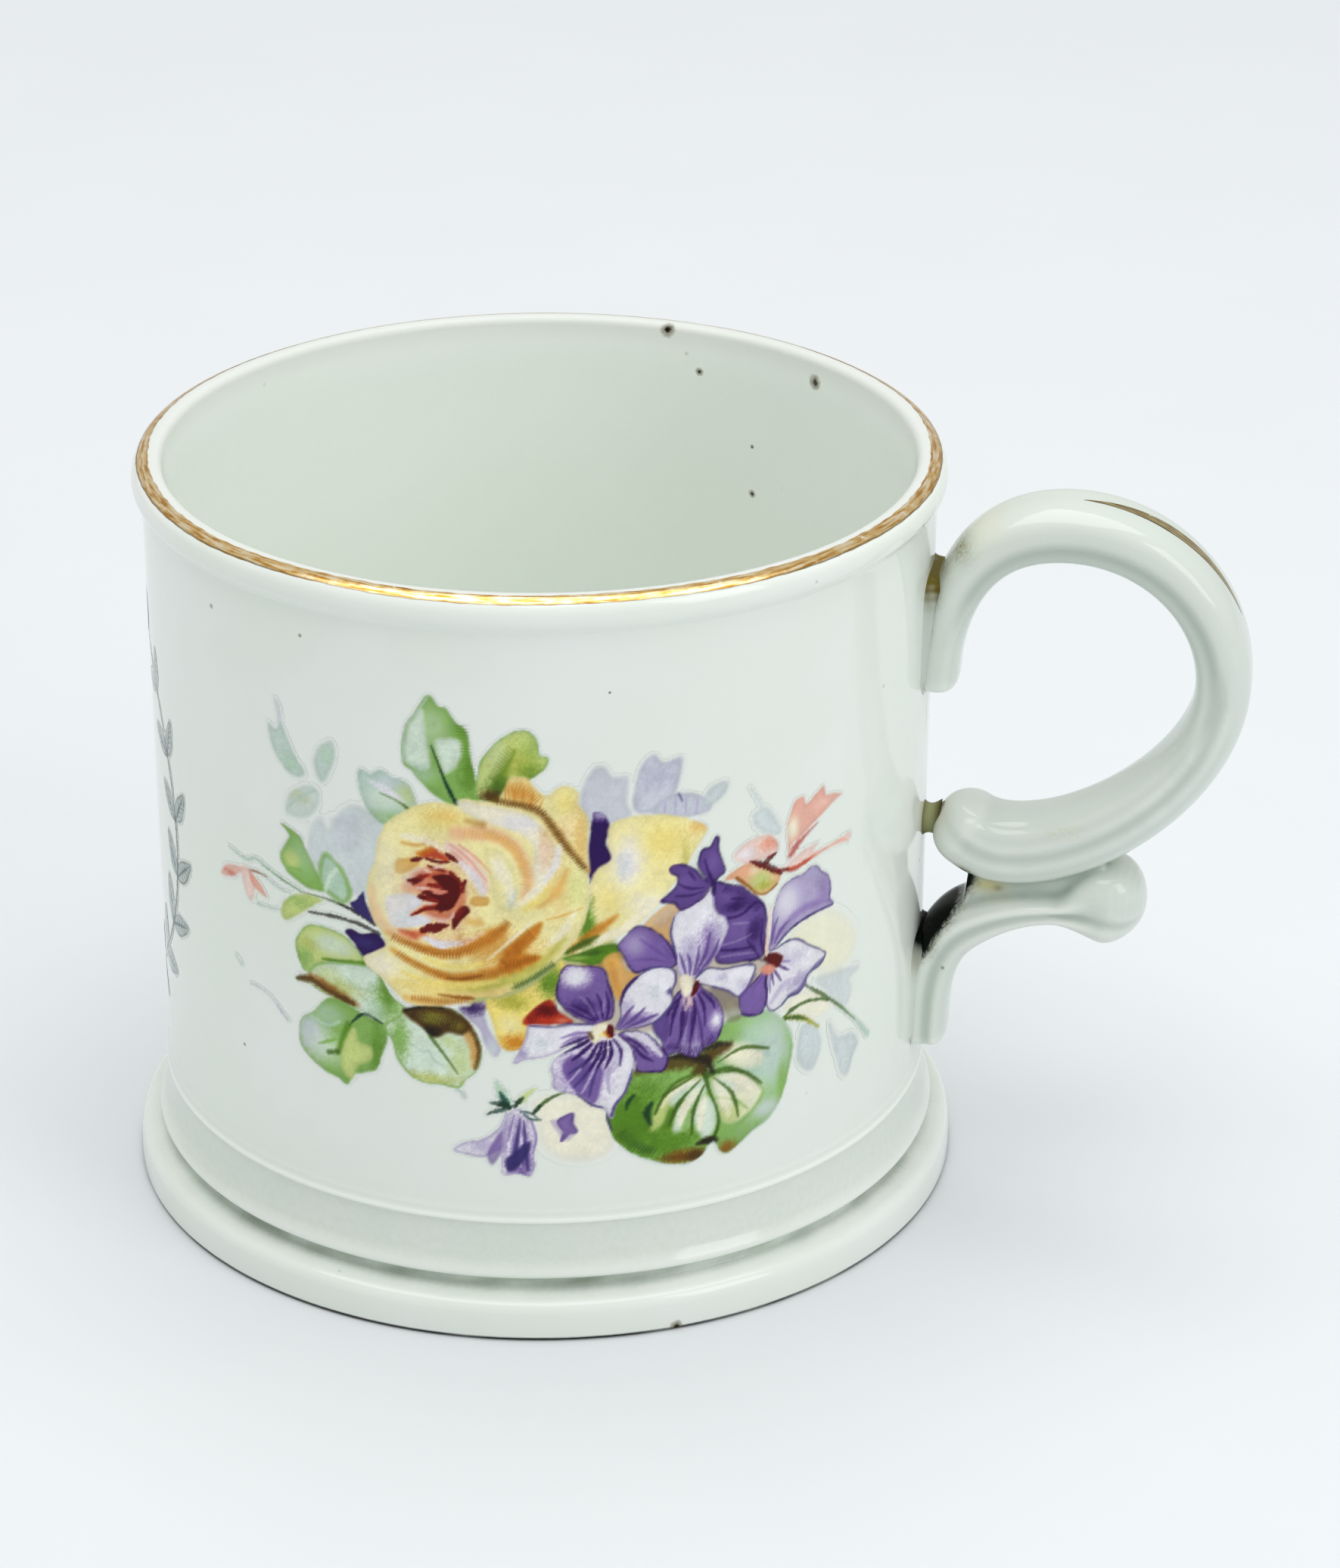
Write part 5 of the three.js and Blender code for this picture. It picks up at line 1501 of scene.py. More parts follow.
hatch(MOSS, [-3.4, 40.9, -1, 42.3, 1, 44], 0.8)
hatch(CRIMSON, [-2, 37, 0, 38.2, 1.2, 38.4], 1.2)
hatch(NEAR_BLACK, [-14.6, 36.8, -12, 36.4, -9.4, 36], 1.4, 0.32, 0.4)
hatch(BROWN, [-28, 37.8, -25.6, 37.9, -23, 37.2, -21, 36.6], 0.8)
hatch(GRASS, [-8.4, 71, -7.9, 68, -7.4, 65], 1.2)

# The drooping violet and its bud under the left violet.
wing = wash(WHITE, [
    -4.2, 25.8, -5, 24, -6.6, 22.6, -8.6, 22, -9.9, 21, -8.4, 20.6, -6.8, 20.5, -5.8, 21, -4.2, 22.4,
], rim=LAVENDER)
dab(wing, (LAVENDER, -6.8, 21.8, 2.4, 1, 0.7))
wash(VIOLET, [-4.4, 24, -5.8, 22, -6.4, 20.6, -5.8, 19.5, -4.8, 21, -4, 22.6], 0.2, 0.8)
droop = wash(WHITE, [
    -3.6, 26.2, -4.4, 24.6, -4.6, 22, -4.8, 19, -4.4, 18.4, -3, 18.6, -1.8, 18.3, -1.3, 19.4, -1.4, 21.4,
    -1, 23.2, -1.6, 25, -2.4, 26.2,
], rim=LAVENDER)
dab(
    droop,
    (VIOLET, -3, 21.8, 1.9, 3.4, 0.75), (VIOLET, -2.6, 19.6, 1.6, 1.6, 0.7),
    (LAVENDER, -4, 23.6, 0.6, 2, 0.6), (PURPLE, -3, 20.6, 1.5, 2.2, 0.4),
)
fan(INDIGO, [[-3.6, 19.4, -3.2, 22, -2.8, 25.2], [-2, 19, -2.2, 21.8, -2.4, 25]], 0.5, 0.75)
fan(WHITE, [[-4.2, 19.4, -4, 22, -3.4, 25.2], [-2.8, 19.4, -2.7, 22, -2.6, 24.6]], 0.36, 0.75)
wash(INDIGO, [-4.4, 20.2, -4.2, 18.9, -3.4, 19, -2.2, 20.6, -1.7, 22.4, -2.6, 22, -3.5, 21], 0.2, 0.95)
fan(VIOLET, [
    [-3.4, 25.6, -3.8, 24, -4, 22.6], [-2.8, 25.4, -2.6, 23.6, -2, 22.2], [-1.6, 25, -1.1, 23, -1.4, 21],
], 0.25, 0.7)
fan(MINT, [[-3.8, 26.8, -4.6, 28, -5.3, 29.5]], 1.3)
fan(LIME, [[-3.2, 26.8, -2.4, 27.8, -1.1, 28.9]], 1, 0.8)
fan(TEAL, [
    [-3.8, 26.6, -4.8, 27, -6, 27], [-3.8, 26.4, -5, 26.2, -6.3, 25.6],
    [-3.9, 26.6, -4.4, 27.4, -4.9, 28.4],
], 0.7)
fan(PINE, [[-3.4, 26.6, -3, 27.2, -2.4, 27.8], [-3.8, 26.5, -4.6, 26.8, -5.2, 26.7]], 0.8)
fan(TEAL, [[-2.7, 26.1, -1.8, 26, -0.6, 25.1], [-2.4, 25.8, -1.6, 25.2, -0.5, 25.1]], 0.35)
line(MOSS, [-1.2, 26.1, 0, 27.4, 1.4, 28.2, 2.8, 28.5], (0.4, 0.4, 0.3, 0.2))
line(PINE, [-1.4, 25.9, -0.6, 26.8], (0.5, 0.3), 0.8)
wash(LAVENDER, [0.4, 25, 1.6, 25.2, 2.8, 25.9, 3, 24.6, 3.3, 23.6, 2, 22.5, 1.2, 23.6], 0.2, 0.6)
wash(VIOLET, [
    1.2, 24.8, 1.8, 25.4, 2.8, 25.8, 2.8, 24.6, 3.3, 23.6, 2.4, 23.3, 1.6, 22.5, 1.8, 23.6,
], 0.12, 0.9, rim=PURPLE)

# The round violet leaf.
round_leaf = wash(LEAF, [
    9.4, 30.4, 8.4, 28.6, 7.2, 26.6, 6.5, 25.4, 6.9, 23.6, 7.4, 22.2, 9, 20.6, 11, 19.4, 13.2, 18.5,
    15.4, 18.1, 17, 18.6, 18.2, 20, 18.7, 20.1, 19.2, 18.9, 20.2, 18.2, 21.6, 18.8, 23.4, 20, 25.6, 21,
    27.2, 22.9, 28.1, 25.6, 28.8, 28.5, 28.4, 30.6, 27.2, 32.6, 25.2, 34.2, 23, 34.6, 20.6, 34.6, 19.6, 34,
    18, 32, 15, 31.6, 12, 31,
], rim=SEA_MIST)
dab(
    round_leaf,
    (MINT, 24.4, 28, 5.4, 7, 1), (MINT, 24, 31.8, 4, 3, 0.8), (LEAF, 20.6, 32.6, 1.6, 1.6, 0.6),
    (GRASS, 9.6, 24.8, 3.8, 4.8, 0.9), (GRASS, 13, 21, 4.4, 2.6, 0.85), (GRASS, 9, 23.6, 3, 4, 0.7),
    (MIST, 26.2, 29.4, 2.2, 4.6, 0.55), (MIST, 25.2, 22.4, 2.6, 1.4, 0.8),
    (LEAF, 27.4, 24.8, 0.9, 2.8, 0.8),
)
wash(LIME, [
    11.4, 22.8, 11.8, 25.4, 13.4, 27.6, 16, 28.6, 17.6, 28.2, 15.4, 27.4, 13.6, 25.8, 12.8, 23.6,
], 0.25, 0.95)
wash(PALE_GREEN, [
    13.4, 26.6, 15.2, 28, 17.3, 28, 17.6, 26.4, 16.4, 24.6, 15.4, 22.4, 13.8, 22.4, 14, 24.4,
], 0.3, 0.9)
line(GRASS, [13.2, 23, 13.6, 24.6, 15, 25.8], (1, 0.8, 0.3), 0.85, 0.25)
line(LEAF, [15.2, 22.4, 15.8, 24.4, 16.8, 25.4], (0.8, 0.7, 0.2), 0.85, 0.25)
wash(PALE_GREEN, [16.2, 23.4, 16.6, 25, 17.6, 25.8, 18.6, 24.8, 18.9, 22.6, 18.2, 20.9, 17, 21.2], 0.25)
right_lobe = wash(CREAM, [
    18.4, 27.8, 20.5, 28, 23.2, 26.8, 24.9, 24.8, 24, 23, 22.4, 22.2, 20.2, 22, 19.2, 24, 18.6, 26,
], 0.35, 0.8)
dab(right_lobe, (PALE_GREEN, 19.8, 26.6, 1.4, 1.4, 0.9), (LIME, 20.6, 22.8, 2, 1.4, 0.7))
wash(CREAM, [19.4, 31, 21.5, 31.4, 24, 30, 24.6, 28.2, 22.6, 28, 20, 29.4], 0.4, 0.75)
line(MOSS, [12.6, 26.8, 14.2, 28.2, 16.6, 28.9], (0.4, 0.5, 0.3), 0.75, 0.15)
line(PINE, [11.4, 26.2, 10.9, 25, 11.3, 23.6], (0.4, 0.8, 0.3), 0.9, 0.18)
line(PINE, [9.4, 27.4, 8.8, 26.6, 8.6, 25.8], (0.3, 0.5, 0.2), 0.85, 0.15)
line(MOSS, [
    16.7, 30.4, 17.5, 28.4, 18, 26.4, 18.8, 24.4, 19.2, 22.4, 18.7, 20.6,
], (0.7, 0.5, 0.3, 0.3, 0.4, 0.5), 0.85)
line(MOSS, [17.6, 28.4, 20.2, 28.6, 22.4, 27.4, 24.2, 25.6], (0.9, 0.6, 0.4, 0.15), 0.8, 0.15)
line(LEAF, [24.2, 25.6, 24.8, 24.4, 23.4, 22.6, 20.8, 20.8], (0.3, 0.5, 0.5, 0.4), 0.75, 0.25)
line(LEAF, [18.8, 25.4, 21, 24.6, 22.8, 23], (0.2, 0.4, 0.2), 0.7, 0.15)
line(BROWN, [9.8, 30.2, 12, 30.8, 14.6, 30.6, 16.6, 30.4], (0.6, 1.6, 1.8, 0.8), 0.8, 0.4)
line(BROWN, [16.8, 29.4, 18.2, 30.8, 20.4, 31.4], (1.6, 1.8, 0.8), 0.85, 0.4)
line(NEAR_BLACK, [
    13, 31.4, 14.8, 31.4, 16.4, 30.8, 17.6, 30.2, 18.4, 28.6,
], (0.4, 0.9, 0.9, 1.1, 0.5), 0.85, 0.25)
line(NEAR_BLACK, [17.4, 31.6, 19.2, 31.8, 20.6, 31.4], (0.6, 0.8, 0.2), 0.75, 0.2)
dab(
    round_leaf,
    (UMBER, 15, 19, 2.8, 1, 0.85), (BROWN, 16.4, 18.9, 1.6, 0.8, 0.9), (UMBER, 20.2, 18.9, 1.2, 0.9, 0.75),
)
line(NEAR_BLACK, [16.6, 20.2, 18, 20.4, 18.9, 20.2], (0.3, 0.9, 0.6), 0.9, 0.2)
line(INDIGO, [9.2, 29.6, 7.4, 26.8, 6.6, 25.4, 7, 23.4], (0.2, 0.4, 0.35, 0.2), 0.7)
line(LEAF, [28.6, 29, 28, 25.4, 27.2, 23], 0.25, 0.6)
line(CREAM, [12.6, 25.6, 14, 27.2, 16.6, 28], (0.3, 0.9, 0.4), 0.8, 0.2)
line(CREAM, [14.6, 23, 15.2, 25, 16.6, 26.8], (0.4, 1.1, 0.4), 0.85, 0.2)
line(CREAM, [17, 22, 17.1, 24, 17.5, 25.8], (0.5, 1.1, 0.4), 0.85, 0.2)
line(CREAM, [20.4, 22.8, 19.9, 25, 18.8, 27.2], (0.4, 1.2, 0.4), 0.7, 0.2)
line(CREAM, [23.6, 24.8, 21.8, 26.8, 19.4, 27.8], (0.4, 1, 0.3), 0.75, 0.2)
line(CREAM, [24.4, 29, 22.2, 29.8, 20, 30], (0.4, 1, 0.3), 0.7, 0.2)
fan(MOSS, [
    [13.4, 23.2, 14.6, 25.8, 17, 28], [16, 21.6, 16.2, 24.4, 17.4, 27.2], [11.8, 24.8, 13, 27, 16.4, 28.6],
], 0.5, 0.85)
fan(MOSS, [
    [21.6, 22.4, 20.8, 25.4, 18.4, 28], [24.6, 25.6, 22, 27.8, 18.6, 28.4],
    [25.4, 29.6, 22, 30.6, 19, 29.6],
], 0.45, 0.8)
hatch(PINE, [8, 23.4, 9.6, 21.4, 12, 20], 1.2, 0.36, 0.4)

# The three violets: petals from the back to the front, each with veins that run to the eye.
wash(OCHRE, [10.4, 47.4, 12, 49, 13.6, 49.6, 14.6, 48.8, 13.4, 47.2, 13.4, 45, 11.8, 46.4], 0.2, 0.75)
wash(LAVENDER, [11.6, 47.8, 13.2, 49, 13.8, 48.4, 12.8, 47], 0.4, 0.3)
wash(OCHRE, [
    6, 43.8, 7.4, 44.8, 8.2, 43.4, 8.8, 42.4, 10, 42, 9, 40.8, 8.2, 38.8, 7.2, 39.8, 6.6, 42,
], 0.2, 0.9)
line(AMBER, [7, 43.4, 7.4, 41.4, 7.9, 39.6], (0.6, 0.6, 0.3), 0.4, 0.25)
wash(BROWN, [
    17.8, 38.8, 19.6, 38.4, 21, 37.2, 21.7, 36, 21.6, 34.4, 20.2, 34.4, 19.6, 35.6, 18.8, 37.2,
], 0.35, 0.55)
wash(SEA_MIST, [19.6, 35.6, 20.6, 36.6, 21.6, 35.4, 21.4, 34.2, 20, 34.2], 0.4, 0.35)
back_petal = wash(PURPLE, [
    18.2, 51.2, 20, 50.6, 21.6, 50, 23, 48.8, 24.4, 47.2, 24.9, 45.4, 24.8, 43, 24.6, 41.2, 24, 40.8,
    22, 41, 20, 41.2, 18.7, 41.8, 18.6, 43.2, 19.5, 44.4, 19.8, 46, 19.2, 46.9, 18.6, 47.8, 18.2, 49.4,
], rim=PLUM)
dab(
    back_petal,
    (VIOLET, 21.4, 45, 2.4, 1.8, 0.75), (VIOLET, 20.2, 49.4, 1.2, 0.9, 0.5),
    (PLUM, 21, 47.8, 1.4, 0.7, 0.85), (PLUM, 23.4, 44.4, 1, 1.4, 0.7),
)
fan(PLUM, [
    [19.6, 46.6, 21.6, 46.6, 23.4, 47.6, 24.4, 47], [19.2, 43, 21, 42.6, 23.4, 42.4],
    [20.4, 48.8, 22, 48.4],
], 0.4, 0.8)
fan(LAVENDER, [
    [19, 43.6, 21, 43.6, 23, 44], [19.2, 42.2, 21.4, 42, 23.8, 41.6], [20.6, 45.8, 22.6, 45.4],
], 0.3, 0.5)
fan(PLUM, [[24.6, 41.2, 24.2, 43, 24.4, 45.4], [24, 41, 22.4, 43.4]], 0.35, 0.7)
sail = wash(LAVENDER, [
    25.3, 41.4, 25.6, 43.6, 25.8, 46, 26.6, 48, 28, 48.9, 29.8, 49.1, 31, 49.6, 32, 49.2, 32.4, 48.6,
    33.6, 47.6, 34, 46, 33.9, 44.8, 34.5, 43.9, 32.4, 43.9, 30, 43.6, 27.6, 42.8, 26.2, 41.6,
], rim=PURPLE)
dab(sail, (WHITE, 27.6, 46.4, 2, 2.4, 0.8), (VIOLET, 33, 46.2, 1.2, 2, 0.35))
line(VIOLET, [26, 42.6, 28.4, 44.4, 31, 45, 33.8, 44.6], (0.5, 1, 0.9, 0.5), 0.5, 0.3)
fan(PURPLE, [[25.6, 42, 25.9, 43.8, 26.4, 45], [26, 42, 26.8, 43.4, 28, 44.2]], 0.4, 0.7)
line(INDIGO, [26.4, 41.8, 28.6, 43.2, 31, 43.8, 34.4, 43.9], (0.2, 0.3, 0.3, 0.15), 0.7)
low_petal = wash(WHITE, [
    25.2, 40.8, 26.4, 41.4, 28, 41.8, 29.4, 41.4, 31, 40.2, 32.8, 39, 33.5, 38.2, 32.4, 37.2, 30.8, 36.8,
    30.4, 35.6, 29.4, 35, 28, 34.9, 27, 34.2, 25.8, 34, 25, 35, 25, 37,
], rim=INDIGO)
dab(low_petal, (LAVENDER, 30, 36.4, 2.6, 1, 0.8), (LAVENDER, 28.4, 39.4, 2, 1, 0.35))
line(INDIGO, [33.3, 38, 31.8, 37.3, 30.6, 36.4, 29.6, 35.3, 28, 35.1], (0.2, 0.5, 0.4, 0.6, 0.3), 0.6, 0.2)
line(LAVENDER, [25.6, 35, 27.2, 36.6, 28.4, 37], (0.4, 0.6, 0.2), 0.6, 0.25)
wash(VIOLET, [
    25, 35.4, 24.4, 34.2, 23.2, 34.2, 21.9, 34.8, 21.5, 36.4, 21.8, 37.2, 23.4, 38.2, 24.8, 39.2, 25, 37.2,
], rim=PLUM)
fan(PLUM, [
    [25.6, 38.8, 26, 37], [26, 38.8, 27, 37.2], [26.6, 39.2, 28, 38.2], [25, 38.6, 24.8, 37],
], 0.35, 0.75)
fan(PURPLE, [[26.8, 39.6, 28.2, 39.2], [25.4, 38.4, 25.5, 36.2], [24.6, 38.6, 23.4, 37.4]], 0.3, 0.6)
wash(CRIMSON, [24.4, 40.5, 25, 41, 26.2, 40.8, 27.1, 40, 26.4, 39, 25.4, 39.6], 0.15, 0.95)
wash(CORAL, [24.2, 39.3, 24.8, 39.8, 25.8, 39.5, 26.1, 38.9, 25.4, 38.5, 24.6, 38.7], 0.18, 0.9)
line(BLUSH, [24.9, 41, 25.1, 44, 25.3, 46.6], (0.45, 0.4, 0.2))
standard = wash(WHITE, [
    14.4, 41.4, 14, 43, 13.8, 44.4, 13.4, 46.2, 13.8, 48, 15, 49, 16.8, 49.5, 17.8, 50.3, 18.2, 49.8,
    18.3, 48.4, 18.8, 47.4, 19.6, 46.8, 20, 45.4, 19.4, 44, 18.8, 43, 18, 41.8, 16.6, 40.6, 15.2, 40.4,
], rim=LAVENDER)
dab(
    standard,
    (LAVENDER, 15.6, 43, 1.6, 2.4, 0.85), (VIOLET, 17.9, 43.8, 1.2, 3, 0.8),
    (LAVENDER, 19, 45, 0.9, 1.8, 0.5),
)
fan(PURPLE, [
    [15.2, 40.8, 14.8, 42.4, 14.4, 43.6], [15.6, 40.8, 15.6, 42.4, 15.3, 43.4],
    [16, 40.8, 16.5, 42.6, 16.6, 44],
], 0.35)
fan(PURPLE, [[16.2, 40.8, 17.4, 43, 17.9, 45.4], [16.6, 40.9, 18.2, 42.6, 19, 44.4]], 0.5)
line(INDIGO, [14, 43, 13.8, 44.4, 13.4, 46.2, 13.8, 48], (0.3, 0.25, 0.25, 0.1), 0.8)
upper_petal = wash(VIOLET, [
    7.7, 45.4, 8.6, 46.6, 9.8, 47.5, 11.2, 47, 12.6, 45.8, 13.6, 44.2, 14, 42.4, 12.6, 42.1, 11, 42.3,
    9.6, 42.1, 8.8, 43, 8.2, 44.4,
], rim=PLUM)
dab(upper_petal, (LAVENDER, 9.4, 45.4, 1.6, 1.6, 0.75))
fan(PURPLE, [
    [13.6, 42.8, 11.6, 44.6, 10, 46], [13.4, 42.6, 11.4, 43.4, 9.4, 43.6], [13.6, 43.2, 12.6, 44.8],
], 0.35, 0.6)
side_petal = wash(WHITE, [
    16.2, 40, 17.6, 41.2, 19.6, 40.7, 21.6, 40.6, 23.2, 40.3, 23.5, 39.6, 22.8, 38.2, 21.6, 36.9, 20, 38,
    18, 39,
], rim=INDIGO)
dab(side_petal, (LAVENDER, 22.2, 38, 1, 0.8, 0.6), (LAVENDER, 19.4, 39.8, 1, 0.5, 0.5))
line(PURPLE, [21.7, 37.1, 22.6, 37.8, 23.6, 39], 0.3, 0.7)
line(PLUM, [22.8, 40.8, 23.8, 40.8, 24.4, 40.4], (0.3, 0.4, 0.2), 0.8)
apron = wash(VIOLET, [
    14.6, 39.2, 13.6, 38, 13, 36.6, 12.4, 34.8, 12.5, 33, 13, 31.8, 14.4, 31.9, 15.4, 31.3, 16.4, 30.9,
    17.4, 31.8, 18.8, 32.4, 19.4, 33.8, 19.6, 35.2, 19.2, 36.6, 18.4, 37.8, 17.2, 38.9, 16.4, 39.6,
], rim=PLUM)
dab(
    apron,
    (WHITE, 18.8, 34.8, 0.9, 1.2, 1), (BLUSH, 15.5, 37.8, 0.8, 1.2, 0.8), (LAVENDER, 16, 32, 1.8, 0.8, 0.8),
)
fan(PLUM, [
    [15.6, 31.4, 15.8, 34, 15.9, 37], [17.2, 31.6, 17, 34, 16.4, 37], [14.2, 32.4, 14.9, 34.6, 15.6, 37.2],
], 0.4, 0.5)
fan(LAVENDER, [[16.4, 31, 16.4, 34.4], [14.8, 31.8, 15.3, 34.8]], 0.35, 0.6)
fan(PLUM, [
    [14.6, 38.6, 13.8, 36.4, 13.4, 34], [15.2, 38, 14.8, 36, 14.6, 33.6], [16.1, 38, 16.2, 36, 15.9, 33.4],
], 0.5, 0.8)
fan(PLUM, [
    [16.6, 38.4, 17.3, 36.6, 17.4, 34.4], [17, 38.6, 18.2, 37.2, 18.6, 36.2],
    [14.2, 38.2, 13.2, 36.8, 12.8, 35],
], 0.4, 0.8)
line(CREAM, [15, 38, 15.1, 36.8], 0.3, 0.6)
wash(CREAM, [14.5, 40.6, 15.2, 41, 16, 40.2, 15.9, 38.8, 15, 38.3, 14.6, 39.4])
wash(CRIMSON, [16.2, 40, 16.7, 39.8, 16.5, 38.7, 15.8, 38.2, 15.9, 39.2], 0.1)
wash(PURPLE, [11.4, 35.9, 12.8, 36.8, 13.4, 35, 12.8, 33.4, 11.8, 34.2], 0.2)
hood = wash(VIOLET, [
    1.2, 40, 1.6, 42.2, 2.2, 43.4, 3.6, 43.3, 5.4, 43.2, 6.3, 42.6, 6.7, 41, 7.2, 39, 7.1, 37.2, 6.2, 36.7,
    5, 36.4, 3.6, 37.1, 2.2, 38.2,
], rim=PLUM)
dab(
    hood,
    (WHITE, 3.2, 42, 1.5, 1.2, 1), (PURPLE, 3.6, 39, 2, 1.2, 0.5), (WHITE, 3.2, 42.6, 1.6, 1.3, 0.8),
    (PLUM, 4, 38.4, 2, 0.9, 0.5),
)
fan(PLUM, [
    [5.4, 36.9, 4.2, 38, 2.8, 38.8], [5.6, 37, 4.8, 38.6, 4.4, 39.6], [6.1, 37, 5.9, 38.8, 5.4, 40],
], 0.4, 0.8)
fan(PLUM, [[6.5, 37, 6.7, 38.6, 6.4, 40.2], [5.2, 36.8, 3.6, 37.6, 2.4, 38.4]], 0.4, 0.8)
fan(LAVENDER, [[5.2, 37.6, 4.4, 39, 3.6, 39.8], [6.1, 37.8, 6.2, 39.4]], 0.25, 0.6)
collar = wash(WHITE, [
    5.4, 36.2, 3.4, 36.5, 1, 36.2, -1.6, 36.4, -2, 35, -2.6, 33.6, -3.3, 32, -2.2, 32.4, -0.4, 32.7,
    1, 33.2, 2.6, 34, 4.6, 35,
], rim=LAVENDER)
dab(collar, (LAVENDER, -2.6, 32.9, 0.9, 1, 0.9), (MIST, -0.6, 34.2, 1.4, 1, 0.6))
fan(VIOLET, [[5, 35.4, 3.2, 35.4, 1.6, 34.9], [4.6, 35, 3, 34.8, 1.8, 34.2]], 0.45, 0.7)
line(INDIGO, [5, 36.4, 2.6, 36.6, 0.8, 36.3, -1.6, 36.4], (0.3, 0.3, 0.2, 0.15), 0.7)
lip_petal = wash(WHITE, [
    5.4, 35.2, 4, 34.3, 2.4, 33.4, 1, 32.4, 0.6, 31.2, 0.8, 30.2, 0.9, 28.9, 2.4, 28.3, 3.8, 27.8, 5, 26.7,
    6.2, 26.2, 7, 25, 7.4, 26.4, 8.4, 27.8, 8.8, 29, 9.3, 30.6, 9.4, 32.4, 8.8, 34, 7.6, 35,
], rim=LAVENDER)
violet_part = wash(VIOLET, [
    2.4, 29.6, 1.8, 31.6, 3, 32.8, 4.6, 32, 6, 31, 5.9, 29, 5.3, 27, 4.4, 27.3, 3.2, 28.4,
], 0.2, 0.95)
dab(lip_petal, (VIOLET, 3.8, 30.6, 3, 3, 0.75))
dab(violet_part, (PURPLE, 3.6, 30.2, 1.9, 2.4, 0.75))
dab(lip_petal, (LAVENDER, 7.6, 32.4, 0.9, 1.6, 0.6))
fan(INDIGO, [
    [3, 29, 4.2, 30.4, 5.4, 32.4], [4.6, 27.8, 5, 29.6, 5.8, 32], [2.4, 30.6, 3.8, 31.6, 5, 32.8],
], 0.36, 0.7)
fan(WHITE, [[2.4, 29.6, 3.6, 31, 5, 32.6], [3.8, 28.2, 4.7, 30, 5.6, 32.2]], 0.3, 0.55)
line(LAVENDER, [6.8, 31, 6.6, 29.4, 6.8, 28], (0.5, 0.4, 0.2), 0.8)
fan(PLUM, [
    [5, 34.8, 3.6, 34, 2, 33.2], [5.2, 34.4, 4, 33.2, 2.8, 32.2], [5.6, 34.2, 4.8, 32.6, 3.8, 31.2],
], 0.5)
fan(PLUM, [
    [6, 34.2, 5.6, 32.6, 4.6, 30.8], [6.4, 34.2, 6.2, 32.6, 5.4, 31], [6.8, 34.2, 7, 32.8, 6.3, 31],
], 0.5)
fan(PLUM, [[7.2, 34.4, 8, 33, 7.9, 31.2], [4.4, 34.9, 3, 34.4, 1.6, 33.8]], 0.4, 0.8)
line(INDIGO, [3.2, 28.1, 4.8, 26.8, 6, 26.3], (0.2, 0.4, 0.2), 0.8)
line(INDIGO, [7, 25.2, 7.4, 26.5, 8.5, 28, 9.3, 30.6], (0.3, 0.35, 0.25, 0.15), 0.7)
cheek = wash(WHITE, [
    7.6, 35.6, 8, 37, 8, 38.8, 8.6, 40.4, 9.8, 41.6, 11.4, 42.4, 13, 42.2, 13.9, 41.6, 14, 40.4, 13.6, 39.2,
    13.7, 38, 12.8, 36.8, 11.6, 35.9, 9.6, 35.5,
], rim=INDIGO)
dab(
    cheek,
    (LAVENDER, 8.6, 38, 0.8, 1.4, 0.6), (VIOLET, 9.6, 36.4, 2.2, 0.9, 0.8),
    (MIST, 11.8, 39.8, 0.6, 0.8, 0.8), (INDIGO, 13.4, 39.3, 0.5, 0.5, 0.7),
)
fan(PURPLE, [
    [7.8, 35.8, 8.6, 37.2, 9.4, 38.2], [8, 35.7, 9.6, 36.8, 10.6, 37.8], [8.4, 35.6, 10.4, 36.3, 12, 36.8],
], 0.5)
line(PLUM, [7.9, 38.4, 8.5, 40.2, 9.7, 41.5], (0.3, 0.4, 0.3), 0.7)
wash(VIOLET, [
    7.8, 35, 9.4, 35.2, 10.8, 34.6, 11.9, 33.6, 12.6, 32.4, 13.2, 31.4, 12.7, 30, 11.4, 30, 9.8, 30.4,
    9.5, 32, 9, 33.6,
], rim=PLUM)
line(WHITE, [8.6, 35, 10.2, 34.4, 11.4, 33.2, 12.4, 31.8], (0.4, 1, 0.9, 0.3), 0.9, 0.2)
line(LAVENDER, [9.3, 34, 10.4, 33, 11.4, 32], (0.5, 0.5, 0.2), 0.7, 0.2)
fan(PLUM, [[8.8, 34.4, 10, 33.4, 11, 32.2], [9.4, 33.4, 10.4, 32, 11.6, 31.2]], 0.4, 0.8)
wash(CREAM, [4.8, 35.7, 5.6, 36.5, 6.7, 36.3, 6.7, 35.2, 6, 34.6, 5.2, 34.1, 4.7, 34.8], 0.15)
dab(lip_petal, (BUTTER, 6, 35.2, 0.6, 0.4, 0.8))
line(BROWN, [4.7, 35.3, 5, 34.7], (0.5, 0.3), 0.8)
wash(CRIMSON, [6.6, 36.2, 7.2, 36, 7.3, 35, 6.9, 34.6, 6.4, 35.2], 0.1)
line(AMBER, [6.2, 35.4, 6.7, 34.7], 0.35, 0.8)
hatch(BROWN, [12.4, 19.4, 15, 18.9, 17, 19.2], 0.9)
hatch(MOSS, [7.6, 23, 9, 21.4, 11.6, 20.2], 1.2, 0.36, 0.45)
hatch(PLUM, [19.4, 50.4, 22, 48.8, 24, 46.6], 1.2)
hatch(PLUM, [13, 33, 14.6, 32.2, 16.6, 31.6, 18.6, 33], 1)

